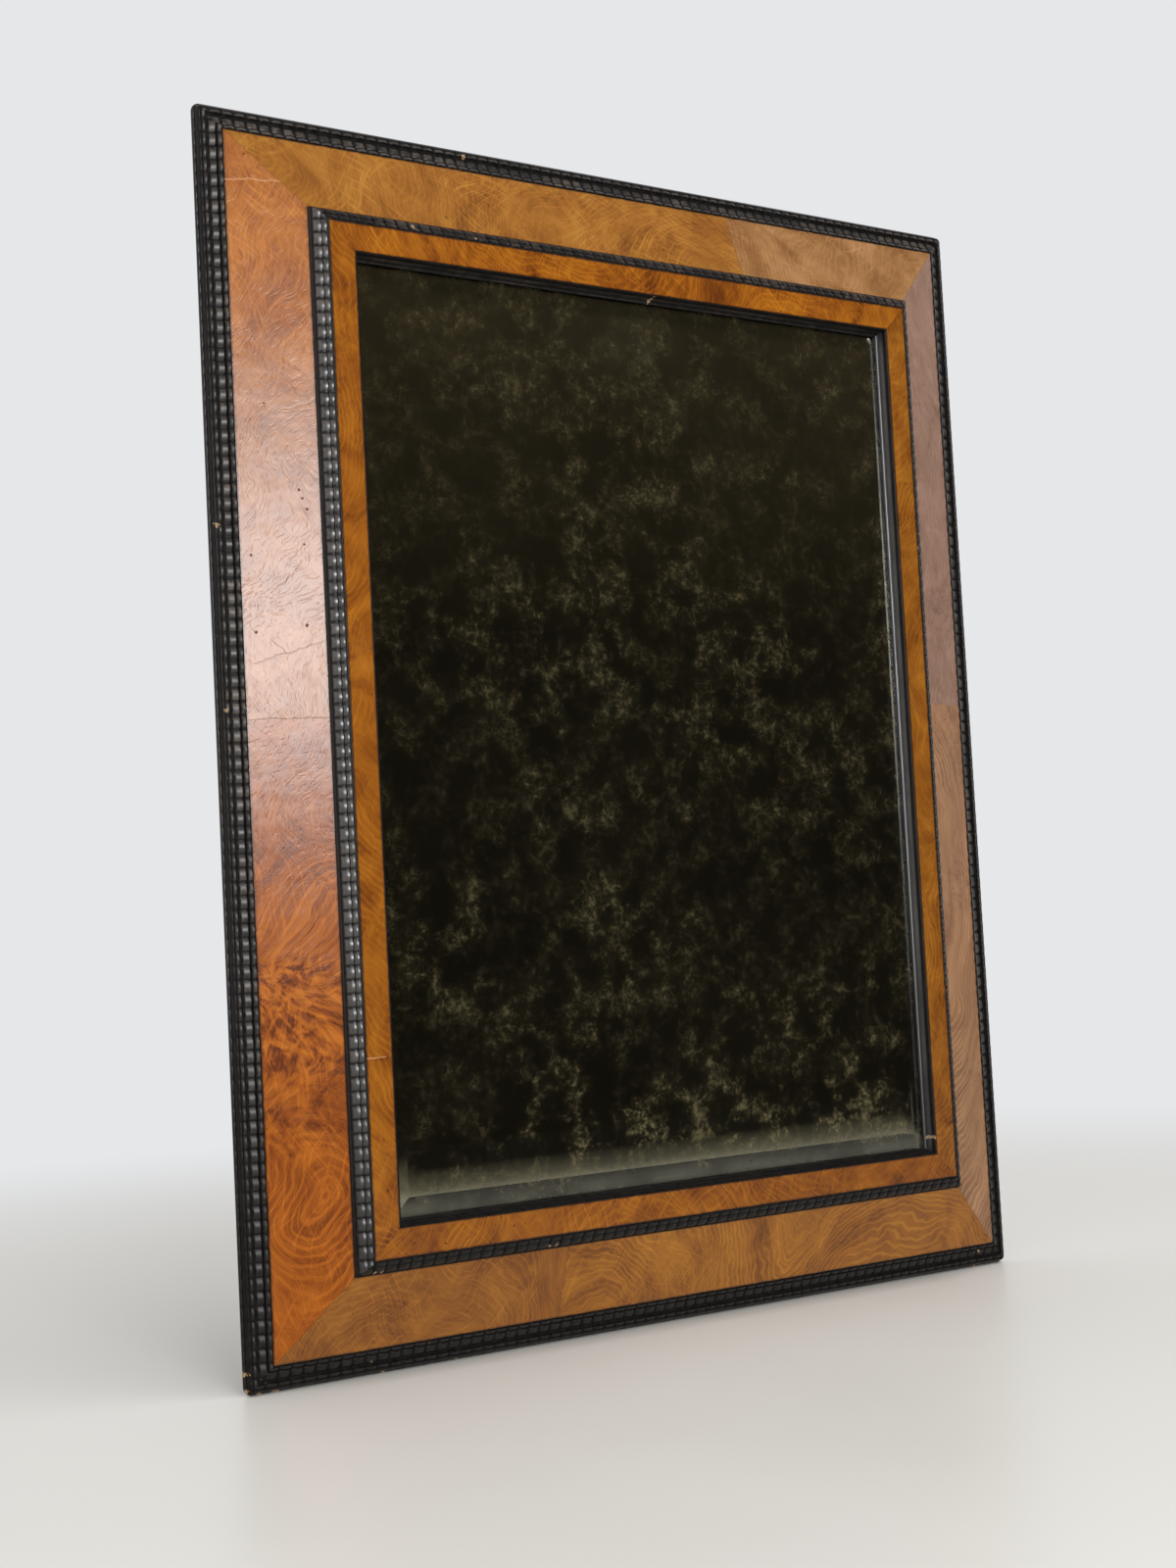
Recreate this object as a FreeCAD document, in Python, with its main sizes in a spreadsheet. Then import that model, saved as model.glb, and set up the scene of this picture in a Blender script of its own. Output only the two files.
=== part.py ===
import FreeCAD, Part
import Sketcher
import os
from FreeCAD import Placement, Rotation, Vector

# Ripple frame mirror: a mitred pine frame with burl veneer on its wide outer band and its
# inner band, ebonised ripple mouldings, and a bevelled plate held by glue blocks.
# Millimetres. The mirror stands upright with its front towards -Y and the origin below it.
#
# Two distances describe any cross-section of the frame:
#   inset  how far in from the frame's outer edge
#   depth  how far in front of the plane of the frame's back

SIZES = {
    # Outline of the whole frame
    "overall_width": 571,
    "overall_height": 720,
    # Widths of the bands, from the outer edge to the glass
    "edge_width": 15.2,
    "band_width": 43.4,
    "mid_width": 8.8,
    "inner_width": 16,
    "sight_width": 4.2,
    # Depth of the wide band's outer edge, then how far each band rises or drops
    "band_low_depth": 9,
    "band_rise": 15.3,
    "mid_rise": 8.9,
    "sight_drop": 8.4,
    "veneer_thickness": 1,
    # Ripples of the ebonised mouldings
    "ripple_pitch": 7.7,
    "ripple_depth": 0.8,
    "corner_radius": 4,
    # Pine carcass, how far it reaches in past the wide band, and its backboard rebate
    "carcass_ledge": 17.4,
    "carcass_depth": 12,
    "rebate_width": 6,
    "rebate_depth": 7,
    # Slip feathers across the carcass mitres
    "feather_leg": 32,
    "feather_thickness": 2,
    "feather_depth": 3,
    # Plate glass with its silvering
    "glass_thickness": 5,
    "glass_clearance": 0.5,
    "bevel_width": 14,
    "bevel_depth": 2,
    "silver_thickness": 0.3,
    # Glue blocks that hold the plate
    "block_length": 40,
    "block_width": 8,
    "block_height": 8.5,
    "rail_block_share": 0.2,
    "stile_block_share": 0.28,
    # Backboards and their nails
    "board_thickness": 6,
    "board_clearance": 0.5,
    "board_gap": 0.5,
    "nail_radius": 0.7,
    "nail_bite_share": 0.8,
    "nail_head_radius": 2,
    "nail_head_thickness": 0.6,
    "nail_spread_share": 0.3,
    "stile_nail_share": 0.25,
    # Hangers: a brass strap, a D ring and two round-head screws on each stile
    "hanger_inset": 42,
    "hanger_drop": 180,
    "strap_width": 12,
    "strap_length": 43,
    "strap_thickness": 1.2,
    "ring_wire_radius": 1.5,
    "ring_fit": 0.05,
    "ring_lift": 0.3,
    "ring_half_width": 10,
    "ring_reach": 18,
    "ring_corner": 2.5,
    "screw_radius": 1.5,
    "screw_clearance": 0.15,
    "screw_length": 9,
    "screw_head_radius": 3,
    "screw_head_height": 1.4,
    "screw_slot_width": 0.8,
    "screw_slot_depth": 0.7,
    "upper_screw_drop": 25,
    "lower_screw_drop": 36,
    # Seams of the veneer along each side, counted from the middle of the side
    "left_top_seam_share": 0.4387,
    "left_middle_seam_share": 0.012,
    "right_seam_share": 0.033,
    "top_seam_share": 0.1532,
    "bottom_seam_share": 0.1495,
    "inner_left_seam_share": 0.2518,
    "inner_right_seam_share": 0.2395,
}

# Outer ripple moulding, as shares of edge_width and band_low_depth: the steps of its body
# as (inset, depth), then its ridges as (inset from, inset to, depth of the crests)
EDGE_BODY_SHARES = [(0, 0), (0, 0.26), (0.12, 0.26), (0.12, 0.45), (0.235, 0.45), (0.235, 0.6),
                    (0.735, 0.6), (0.735, 0.82), (1, 0.82), (1, 0)]
EDGE_RIDGE_SHARES = [(0.02, 0.1, 0.4), (0.13, 0.215, 0.68), (0.245, 0.365, 0.83),
                     (0.48, 0.7, 0.82), (0.75, 0.92, 1.07)]

# Middle ripple moulding, as shares of its width and of its height over its seat
MID_BODY_SHARES = [(0, 0), (0, 0.26), (0.09, 0.3), (0.16, 0.38), (0.87, 0.76), (0.87, 0.97),
                   (1, 0.97), (1, 0)]
MID_RIDGE_SHARES = [(0.16, 0.38, 0.6), (0.38, 0.62, 0.78), (0.62, 0.87, 0.96)]

# Ridges are rooted in the body of their moulding, this share of its height over its seat
RIDGE_ROOT_SHARE = 0.1

# Stepped sight moulding, as shares of sight_width and sight_drop
SIGHT_SHARES = [(0, 0), (0, 0.97), (0.28, 0.97), (0.38, 0.86), (0.45, 0.69), (0.5, 0.52),
                (0.6, 0.43), (0.74, 0.41), (0.78, 0.46), (0.87, 0.46), (0.94, 0.38),
                (0.97, 0.26), (1, 0)]

# A cut that takes less than this share of a piece has missed it
MISSED_CUT_SHARE = 1e-7

# Insets
BAND_START = "sizes.edge_width"
BAND_END = "(sizes.edge_width + sizes.band_width)"
INNER_START = "(sizes.edge_width + sizes.band_width + sizes.mid_width)"
SIGHT_START = f"({INNER_START} + sizes.inner_width)"
GLASS_START = f"({SIGHT_START} + sizes.sight_width)"
PLATE_EDGE = f"({SIGHT_START} + sizes.glass_clearance)"
CARCASS_END = f"({BAND_END} + sizes.carcass_ledge)"
REBATE_START = f"({CARCASS_END} - sizes.rebate_width)"
NAIL_INSET = f"({CARCASS_END} - sizes.rebate_width / 2)"

# Depths
BAND_LOW = "sizes.band_low_depth"
BAND_HIGH = "(sizes.band_low_depth + sizes.band_rise)"
BAND_SEAT = f"({BAND_LOW} - sizes.veneer_thickness)"
MID_SEAT = f"({BAND_HIGH} - sizes.veneer_thickness)"
INNER_FRONT = f"({BAND_HIGH} + sizes.mid_rise)"
INNER_SEAT = f"({INNER_FRONT} - sizes.veneer_thickness)"
LIP = f"({INNER_FRONT} - sizes.sight_drop)"
COVERED_BEVEL = "((sizes.sight_width - sizes.glass_clearance) / sizes.bevel_width)"
PLATE_FRONT = f"({LIP} + sizes.bevel_depth * (1 - {COVERED_BEVEL}))"
PLATE_BACK = f"({PLATE_FRONT} - sizes.glass_thickness)"
BLOCK_SEAT = f"({PLATE_BACK} - sizes.silver_thickness)"
BOARD_BACK = "(sizes.rebate_depth - sizes.board_thickness)"
NAIL_BITE = "(sizes.nail_bite_share * (sizes.carcass_depth - sizes.rebate_depth))"

# The plate and the backboards
PLATE_WIDTH = f"(sizes.overall_width - 2 * {PLATE_EDGE})"
PLATE_HEIGHT = f"(sizes.overall_height - 2 * {PLATE_EDGE})"
BOARD_START = f"({REBATE_START} + sizes.board_clearance)"
BOARD_WIDTH = f"((sizes.overall_width - 2 * {BOARD_START} - 2 * sizes.board_gap) / 3)"
BOARD_HEIGHT = f"(sizes.overall_height - 2 * {BOARD_START})"
BOARD_STEP = f"({BOARD_WIDTH} + sizes.board_gap)"
BOARD_STEPS = {"left": -1, "middle": 0, "right": 1}

# Hangers, with the distance of the ring's bar behind the back plane
EYE_RADIUS = "(sizes.ring_wire_radius + sizes.ring_fit + sizes.strap_thickness)"
RING_BACK = "(sizes.strap_thickness + sizes.ring_lift + sizes.ring_wire_radius)"
RING_HEIGHT = "(sizes.overall_height - sizes.hanger_drop)"
SCREW_DROPS = ("sizes.upper_screw_drop", "sizes.lower_screw_drop")

# Y of the back plane, which puts the origin midway between the front and the rearmost eye
BACK_Y = f"(({INNER_FRONT} - {RING_BACK} - {EYE_RADIUS}) / 2)"

# The four sides. A side's pieces are drawn alike, with X along the side, -Y to the front
# and Z from the outer edge inwards, and are then turned into place. middle is the middle
# of the outer edge; along and inward are the (x, z) directions of the drawn X and Z.
SIDES = {
    "bottom": {"run": "sizes.overall_width", "rise": "sizes.overall_height",
               "middle": ("0", "0"), "along": (1, 0), "inward": (0, 1), "turn": 0},
    "left": {"run": "sizes.overall_height", "rise": "sizes.overall_width",
             "middle": ("-sizes.overall_width / 2", "sizes.overall_height / 2"),
             "along": (0, -1), "inward": (1, 0), "turn": 90},
    "top": {"run": "sizes.overall_width", "rise": "sizes.overall_height",
            "middle": ("0", "sizes.overall_height"), "along": (-1, 0), "inward": (0, -1),
            "turn": 180},
    "right": {"run": "sizes.overall_height", "rise": "sizes.overall_width",
              "middle": ("sizes.overall_width / 2", "sizes.overall_height / 2"),
              "along": (0, 1), "inward": (-1, 0), "turn": -90},
}
UPRIGHTS = {"left": -1, "right": 1}
X_AXIS = Vector(1, 0, 0)
Y_AXIS = Vector(0, 1, 0)
Z_AXIS = Vector(0, 0, 1)

doc = FreeCAD.newDocument("ripple_frame_mirror")
sizes = doc.addObject("Spreadsheet::Sheet", "sizes")
for row, (alias, number) in enumerate(SIZES.items(), start=1):
    sizes.set(f"A{row}", alias)
    sizes.set(f"B{row}", str(number))
    sizes.setAlias(f"B{row}", alias)
doc.recompute()

nodes = []


def value(expression):
    """The present number of an expression in the sheet's sizes."""
    return float(sizes.evalExpression(expression))


def bind(item, bindings):
    """Tie properties of an object to expressions."""
    for prop, expression in bindings.items():
        item.setExpression(prop, expression)


def place(item, x, y, z, axis=Y_AXIS, turn=0):
    """Turn an object about an axis and tie its position to expressions."""
    item.Placement = Placement(Vector(), Rotation(axis, turn))
    bind(item, {"Placement.Base.x": x, "Placement.Base.y": y, "Placement.Base.z": z})


def place_on_side(item, side, x="0", depth="0", inset="0"):
    """Put an object at a spot along a side, turned as the side is."""
    spot = SIDES[side]
    at_x, at_z = (f"{start} + {along} * ({x}) + {inward} * ({inset})"
                  for start, along, inward in zip(spot["middle"], spot["along"], spot["inward"]))
    place(item, at_x, f"{BACK_Y} - {depth}", at_z, turn=spot["turn"])


def node(item, name):
    """Name an object as one sub-part."""
    item.Label = name
    nodes.append(item)


def primitive(kind, bindings, at=("0", "0", "0"), axis=X_AXIS, turn=0):
    """A Part primitive whose sizes and position are tied to expressions."""
    item = doc.addObject(f"Part::{kind}", kind)
    bind(item, bindings)
    place(item, *at, axis, turn)
    return item


def joined(items):
    """Several shapes fused into one."""
    fusion = doc.addObject("Part::MultiFuse", "Fusion")
    fusion.Shapes = items
    return fusion


def grouped(items, name):
    """Identical small pieces that share one sub-part."""
    group = doc.addObject("Part::Compound", name)
    group.Links = items
    node(group, name)


def sketch_on(body, plane_role, name, offset="0"):
    """A sketch on one of the body's own planes, moved along its normal."""
    plane = next(item for item in body.Origin.OriginFeatures if item.Role == plane_role)
    sketch = body.newObject("Sketcher::SketchObject", name)
    sketch.AttachmentSupport = [(plane, "")]
    sketch.MapMode = "FlatFace"
    sketch.setExpression("AttachmentOffset.Base.z", offset)
    return sketch


def hold_point(sketch, geometry, point, x, y):
    """Tie a point of a sketch to two expressions, or to an axis where one is zero."""
    for kind, expression, axis in (("DistanceX", x, -2), ("DistanceY", y, -1)):
        if expression == "0":
            sketch.addConstraint(Sketcher.Constraint("PointOnObject", geometry, point, axis))
        else:
            rule = Sketcher.Constraint(kind, -1, 1, geometry, point, value(expression))
            index = sketch.addConstraint(rule)
            sketch.setExpression(f"Constraints[{index}]", expression)


def draw_polygon(sketch, corners):
    """A closed polygon whose corners are pairs of expressions."""
    spots = [Vector(value(x), value(y), 0) for x, y in corners]
    first = sketch.GeometryCount
    count = len(corners)
    for index in range(count):
        sketch.addGeometry(Part.LineSegment(spots[index], spots[(index + 1) % count]), False)
    for index in range(count):
        following = first + (index + 1) % count
        sketch.addConstraint(Sketcher.Constraint("Coincident", first + index, 2, following, 1))
    for index, (x, y) in enumerate(corners):
        hold_point(sketch, first + index, 1, x, y)


def draw_circle(sketch, x, y, radius):
    """A circle with its centre and its radius tied to expressions."""
    circle = Part.Circle(Vector(value(x), value(y), 0), Z_AXIS, value(radius))
    geometry = sketch.addGeometry(circle, False)
    hold_point(sketch, geometry, 3, x, y)
    index = sketch.addConstraint(Sketcher.Constraint("Radius", geometry, value(radius)))
    sketch.setExpression(f"Constraints[{index}]", radius)


def pad(body, sketch, length, sides="One side", backwards=False):
    """Raise a sketch along its normal, against it, or both ways."""
    feature = body.newObject("PartDesign::Pad", "Pad")
    feature.Profile = sketch
    feature.SideType = sides
    feature.Reversed = backwards
    feature.setExpression("Length", length)


def pocket(body, sketch, length=None):
    """Cut from a sketch towards the front, or both ways through everything."""
    feature = body.newObject("PartDesign::Pocket", "Pocket")
    feature.Profile = sketch
    if length:
        feature.Reversed = True
        feature.setExpression("Length", length)
    else:
        feature.Type = "ThroughAll"
        feature.SideType = "Symmetric"


def stick(name, side, section, start=None, end=None):
    """A mitred length with a constant section of (inset, depth) corners.

    start and end say where a seam stops it short of a mitre.
    """
    half = f"{SIDES[side]['run']} / 2"
    start = start or f"-{half}"
    end = end or half
    body = doc.addObject("PartDesign::Body", name)
    profile = sketch_on(body, "YZ_Plane", "section", start)
    draw_polygon(profile, [("0" if depth == "0" else f"-{depth}", inset)
                           for inset, depth in section])
    pad(body, profile, f"({end}) - ({start})")
    mitres = sketch_on(body, "XZ_Plane", "mitres")
    for sign in ("", "-"):
        draw_polygon(mitres, [(f"{sign}({half})", "0"),
                              (f"{sign}({half} - {GLASS_START})", GLASS_START),
                              (f"{sign}({half})", GLASS_START)])
    pocket(body, mitres)
    place_on_side(body, side)
    node(body, name)
    return body


# Pine carcass, its feathers and the inner frame that stands on it

def member_name(group, side):
    """Upright members are stiles and cross members are rails."""
    return f"{group}_{'stile' if side in UPRIGHTS else 'rail'}_{side}"


def nail_places(side):
    """Where the backboard nails stand along one side."""
    if side in UPRIGHTS:
        return [f"{step} * sizes.stile_nail_share * sizes.overall_height" for step in (-1, 0, 1)]
    return [f"{step} * {BOARD_STEP} + {sign} * sizes.nail_spread_share * {BOARD_WIDTH}"
            for step in BOARD_STEPS.values() for sign in (-1, 1)]


def carcass_member(side):
    """One side of the carcass, with its feather slots, nail holes and screw holes."""
    body = stick(member_name("carcass", side), side, [
        (BAND_START, "0"), (BAND_START, BAND_SEAT), (BAND_END, MID_SEAT),
        (BAND_END, "sizes.carcass_depth"), (CARCASS_END, "sizes.carcass_depth"),
        (CARCASS_END, "sizes.rebate_depth"), (REBATE_START, "sizes.rebate_depth"),
        (REBATE_START, "0")])
    corner = f"({SIDES[side]['run']} / 2 - {BAND_START})"
    slots = sketch_on(body, "XZ_Plane", "feather_slots", "sizes.feather_depth")
    for sign in ("", "-"):
        draw_polygon(slots, [(f"{sign}{corner}", BAND_START),
                             (f"{sign}({corner} - sizes.feather_leg)", BAND_START),
                             (f"{sign}{corner}", f"{BAND_START} + sizes.feather_leg")])
    pocket(body, slots, "sizes.feather_thickness")
    nail_holes = sketch_on(body, "XZ_Plane", "nail_holes")
    for x in nail_places(side):
        draw_circle(nail_holes, x, NAIL_INSET, "sizes.nail_radius")
    pocket(body, nail_holes, f"sizes.rebate_depth + {NAIL_BITE}")
    if side in UPRIGHTS:
        screw_holes = sketch_on(body, "XZ_Plane", "screw_holes")
        for drop in SCREW_DROPS:
            x = f"{UPRIGHTS[side]} * ({RING_HEIGHT} - {drop} - sizes.overall_height / 2)"
            draw_circle(screw_holes, x, "sizes.hanger_inset", "sizes.screw_radius")
        pocket(body, screw_holes, "sizes.screw_length - sizes.strap_thickness")


def inner_member(side):
    """One side of the inner frame, which goes round the plate."""
    stick(member_name("inner_frame", side), side, [
        (BAND_END, "sizes.carcass_depth"), (BAND_END, MID_SEAT), (INNER_START, MID_SEAT),
        (INNER_START, INNER_SEAT), (SIGHT_START, INNER_SEAT),
        (SIGHT_START, "sizes.carcass_depth")])


def corner_feathers():
    """Four triangular slip feathers, one in each corner of the carcass."""
    feathers = []
    for side, spot in SIDES.items():
        body = doc.addObject("PartDesign::Body", "feather")
        outline = sketch_on(body, "XZ_Plane", "outline", "sizes.feather_depth")
        draw_polygon(outline, [("0", "0"), ("sizes.feather_leg", "0"), ("0", "sizes.feather_leg")])
        pad(body, outline, "sizes.feather_thickness")
        place_on_side(body, side, x=f"{BAND_START} - {spot['run']} / 2", inset=BAND_START)
        feathers.append(body)
    grouped(feathers, "corner_feathers")


# Veneers

def veneers():
    """Burl leaves of the wide band and of the inner band, butted at their seams."""
    wide = [(BAND_START, BAND_SEAT), (BAND_START, BAND_LOW), (BAND_END, BAND_HIGH),
            (BAND_END, MID_SEAT)]
    inner = [(INNER_START, INNER_SEAT), (INNER_START, INNER_FRONT), (SIGHT_START, INNER_FRONT),
             (SIGHT_START, INNER_SEAT)]
    seamed = [
        ("wide_veneer", wide, "left", ("top", "upper", "lower"),
         ("-sizes.left_top_seam_share", "-sizes.left_middle_seam_share")),
        ("wide_veneer", wide, "right", ("lower", "upper"), ("sizes.right_seam_share",)),
        ("wide_veneer", wide, "top", ("right", "left"), ("-sizes.top_seam_share",)),
        ("wide_veneer", wide, "bottom", ("left", "right"), ("-sizes.bottom_seam_share",)),
        ("inner_veneer", inner, "left", ("upper", "lower"), ("sizes.inner_left_seam_share",)),
        ("inner_veneer", inner, "right", ("lower", "upper"), ("sizes.inner_right_seam_share",)),
    ]
    for group, section, side, leaves, shares in seamed:
        stops = [None] + [f"{share} * {SIDES[side]['run']}" for share in shares] + [None]
        for leaf, start, end in zip(leaves, stops, stops[1:]):
            stick(f"{group}_{side}_{leaf}", side, section, start, end)
    for side in ("top", "bottom"):
        stick(f"inner_veneer_{side}", side, inner)


# Ebonised mouldings

def ripple_ridge(run, near, far, root, crest):
    """One ridge along a moulding: a row of ripples over a straight root."""
    count = max(1, round(run / value("sizes.ripple_pitch")))
    pitch = run / count
    valley = crest - value("sizes.ripple_depth")
    edges = []
    for index in range(count):
        x = index * pitch - run / 2
        ripple = Part.Arc(Vector(x, -valley, near), Vector(x + pitch / 2, -crest, near),
                          Vector(x + pitch, -valley, near))
        edges.append(ripple.toShape())
    corners = [Vector(run / 2, -valley, near), Vector(run / 2, -root, near),
               Vector(-run / 2, -root, near), Vector(-run / 2, -valley, near)]
    edges += [Part.LineSegment(a, b).toShape() for a, b in zip(corners, corners[1:])]
    return Part.Face(Part.Wire(edges)).extrude((far - near) * Z_AXIS)


def between_mitres(run, near, far, front):
    """The space between a side's two mitres, from one inset to another."""
    half = run / 2
    corners = [Vector(half - near, front, near), Vector(half - far, front, far),
               Vector(far - half, front, far), Vector(near - half, front, near)]
    return Part.Face(Part.makePolygon(corners + corners[:1])).extrude(-2 * front * Y_AXIS)


def rounded_block(run, rise, front, radius):
    """The block that the frame fills, seen from one side, with its four corners rounded."""
    block = Part.makeBox(run, 2 * front, rise, Vector(-run / 2, -front, 0))
    corners = [edge for edge in block.Edges if edge.tangentAt(0).cross(Y_AXIS).Length == 0]
    return block.makeFillet(radius, corners)


def rippled_stick(name, side, start, end, seat, top, body_shares, ridge_shares):
    """A mitred moulding with rippled ridges, built by code as a row of arcs."""
    run = value(SIDES[side]["run"])
    near, far, low, high = (value(size) for size in (start, end, seat, top))
    front = value(INNER_FRONT)

    def inset(share):
        return near + share * (far - near)

    def depth(share):
        return low + share * (high - low)

    corners = [Vector(-run / 2, -depth(rise), inset(across)) for across, rise in body_shares]
    body = Part.Face(Part.makePolygon(corners + corners[:1])).extrude(run * X_AXIS)
    ridges = [ripple_ridge(run, inset(first), inset(last), depth(RIDGE_ROOT_SHARE), depth(crest))
              for first, last, crest in ridge_shares]
    outline = between_mitres(run, near, far, front)
    if near == 0:
        block = rounded_block(run, value(SIDES[side]["rise"]), front, value("sizes.corner_radius"))
        outline = outline.common(block)
    moulding = doc.addObject("Part::Feature", name)
    moulding.Shape = body.fuse(ridges).common(outline)
    place_on_side(moulding, side)
    node(moulding, name)


def mouldings(side):
    """The outer moulding, the tall middle one and the stepped one that laps the plate."""
    rippled_stick(f"outer_moulding_{side}", side, "0", BAND_START, "0", BAND_LOW,
                  EDGE_BODY_SHARES, EDGE_RIDGE_SHARES)
    rippled_stick(f"mid_moulding_{side}", side, BAND_END, INNER_START, MID_SEAT, INNER_FRONT,
                  MID_BODY_SHARES, MID_RIDGE_SHARES)
    stick(f"sight_edge_{side}", side, [
        (f"({SIGHT_START} + {across} * sizes.sight_width)", f"({LIP} + {rise} * sizes.sight_drop)")
        for across, rise in SIGHT_SHARES])


# Plate, silvering and what holds them from behind

def mirror_glass():
    """A slab with four bevels, turned so that the bevels face the front."""
    slab_depth = "(sizes.glass_thickness - sizes.bevel_depth)"
    left = f"-{PLATE_WIDTH} / 2"
    slab = primitive("Box", {"Length": PLATE_WIDTH, "Width": slab_depth, "Height": PLATE_HEIGHT},
                     at=(left, f"-{slab_depth}", PLATE_EDGE))
    bevels = primitive("Wedge", {
        "Xmin": "0", "Xmax": PLATE_WIDTH, "Zmin": "0", "Zmax": PLATE_HEIGHT,
        "Ymin": "0", "Ymax": "sizes.bevel_depth",
        "X2min": "sizes.bevel_width", "X2max": f"{PLATE_WIDTH} - sizes.bevel_width",
        "Z2min": "sizes.bevel_width", "Z2max": f"{PLATE_HEIGHT} - sizes.bevel_width",
    }, at=(f"{PLATE_WIDTH} / 2", f"-{slab_depth}", PLATE_EDGE), axis=Z_AXIS, turn=180)
    plate = joined([slab, bevels])
    plate.Refine = True
    place(plate, "0", f"{BACK_Y} - {PLATE_BACK}", "0")
    node(plate, "mirror_glass")
    silver = primitive("Box", {"Length": PLATE_WIDTH, "Width": "sizes.silver_thickness",
                               "Height": PLATE_HEIGHT},
                       at=(left, f"{BACK_Y} - {PLATE_BACK}", PLATE_EDGE))
    node(silver, "silvering")


def glue_blocks():
    """Pine blocks along the inner frame, against the back of the plate."""
    blocks = []
    for side, spot in SIDES.items():
        if side in UPRIGHTS:
            middles = [f"{step} * sizes.stile_block_share * {spot['run']}" for step in (-1, 0, 1)]
        else:
            middles = [f"{step} * sizes.rail_block_share * {spot['run']}" for step in (-1, 1)]
        for middle in middles:
            block = primitive("Box", {"Length": "sizes.block_length", "Width": "sizes.block_height",
                                      "Height": "sizes.block_width"})
            place_on_side(block, side, f"{middle} - sizes.block_length / 2", BLOCK_SEAT,
                          SIGHT_START)
            blocks.append(block)
    grouped(blocks, "glue_blocks")


# Backboards

def backboard(name, step):
    """One upright pine board with its nail holes."""
    body = doc.addObject("PartDesign::Body", name)
    outline = sketch_on(body, "XZ_Plane", "outline", BOARD_BACK)
    draw_polygon(outline, [(f"{across} * {BOARD_WIDTH} / 2", f"{up} * {BOARD_HEIGHT} / 2")
                           for across, up in ((-1, -1), (1, -1), (1, 1), (-1, 1))])
    pad(body, outline, "sizes.board_thickness")
    holes = sketch_on(body, "XZ_Plane", "nail_holes")
    for across in (-1, 1):
        for up in (-1, 1):
            draw_circle(holes, f"{across} * sizes.nail_spread_share * {BOARD_WIDTH}",
                        f"{up} * (sizes.overall_height / 2 - {NAIL_INSET})", "sizes.nail_radius")
    if step:
        for z in nail_places("left"):
            x = f"{step} * (sizes.overall_width / 2 - {NAIL_INSET} - {BOARD_STEP})"
            draw_circle(holes, x, z, "sizes.nail_radius")
    pocket(body, holes)
    place(body, f"{step} * {BOARD_STEP}", BACK_Y, "sizes.overall_height / 2")
    node(body, name)


def backboards():
    """Three boards in the carcass's rebate, and the nails that hold them."""
    for name, step in BOARD_STEPS.items():
        backboard(f"backboard_{name}", step)
    nails = []
    for side in SIDES:
        for x in nail_places(side):
            shank = primitive("Cylinder", {"Radius": "sizes.nail_radius",
                                           "Height": f"sizes.board_thickness + {NAIL_BITE}"},
                              axis=X_AXIS, turn=90)
            head = primitive("Cylinder", {"Radius": "sizes.nail_head_radius",
                                          "Height": "sizes.nail_head_thickness"},
                             at=("0", "sizes.nail_head_thickness", "0"), axis=X_AXIS, turn=90)
            nail = joined([shank, head])
            place_on_side(nail, side, x, BOARD_BACK, NAIL_INSET)
            nails.append(nail)
    grouped(nails, "backboard_nails")


# Hangers

def hanger_strap(side):
    """A brass strap whose upper end is curled into an eye for the ring's bar."""
    body = doc.addObject("PartDesign::Body", f"hanger_strap_{side}")
    half = "sizes.strap_width / 2"
    straight_end = f"-(sizes.strap_length - {half})"
    outline = sketch_on(body, "XZ_Plane", "outline")
    draw_polygon(outline, [(f"-{half}", straight_end), (half, straight_end), (half, "0"),
                           (f"-{half}", "0")])
    pad(body, outline, "sizes.strap_thickness", backwards=True)
    tip = sketch_on(body, "XZ_Plane", "tip")
    draw_circle(tip, "0", straight_end, half)
    pad(body, tip, "sizes.strap_thickness", backwards=True)
    eye = sketch_on(body, "YZ_Plane", "eye")
    draw_circle(eye, RING_BACK, "0", EYE_RADIUS)
    pad(body, eye, "sizes.strap_width", sides="Symmetric")
    bore = sketch_on(body, "YZ_Plane", "bore")
    draw_circle(bore, RING_BACK, "0", "sizes.ring_wire_radius + sizes.ring_fit")
    pocket(body, bore)
    holes = sketch_on(body, "XZ_Plane", "screw_holes")
    for drop in SCREW_DROPS:
        draw_circle(holes, "0", f"-{drop}", "sizes.screw_radius + sizes.screw_clearance")
    pocket(body, holes)
    place(body, f"{UPRIGHTS[side]} * (sizes.overall_width / 2 - sizes.hanger_inset)", BACK_Y,
          RING_HEIGHT)
    node(body, f"hanger_strap_{side}")


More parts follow.
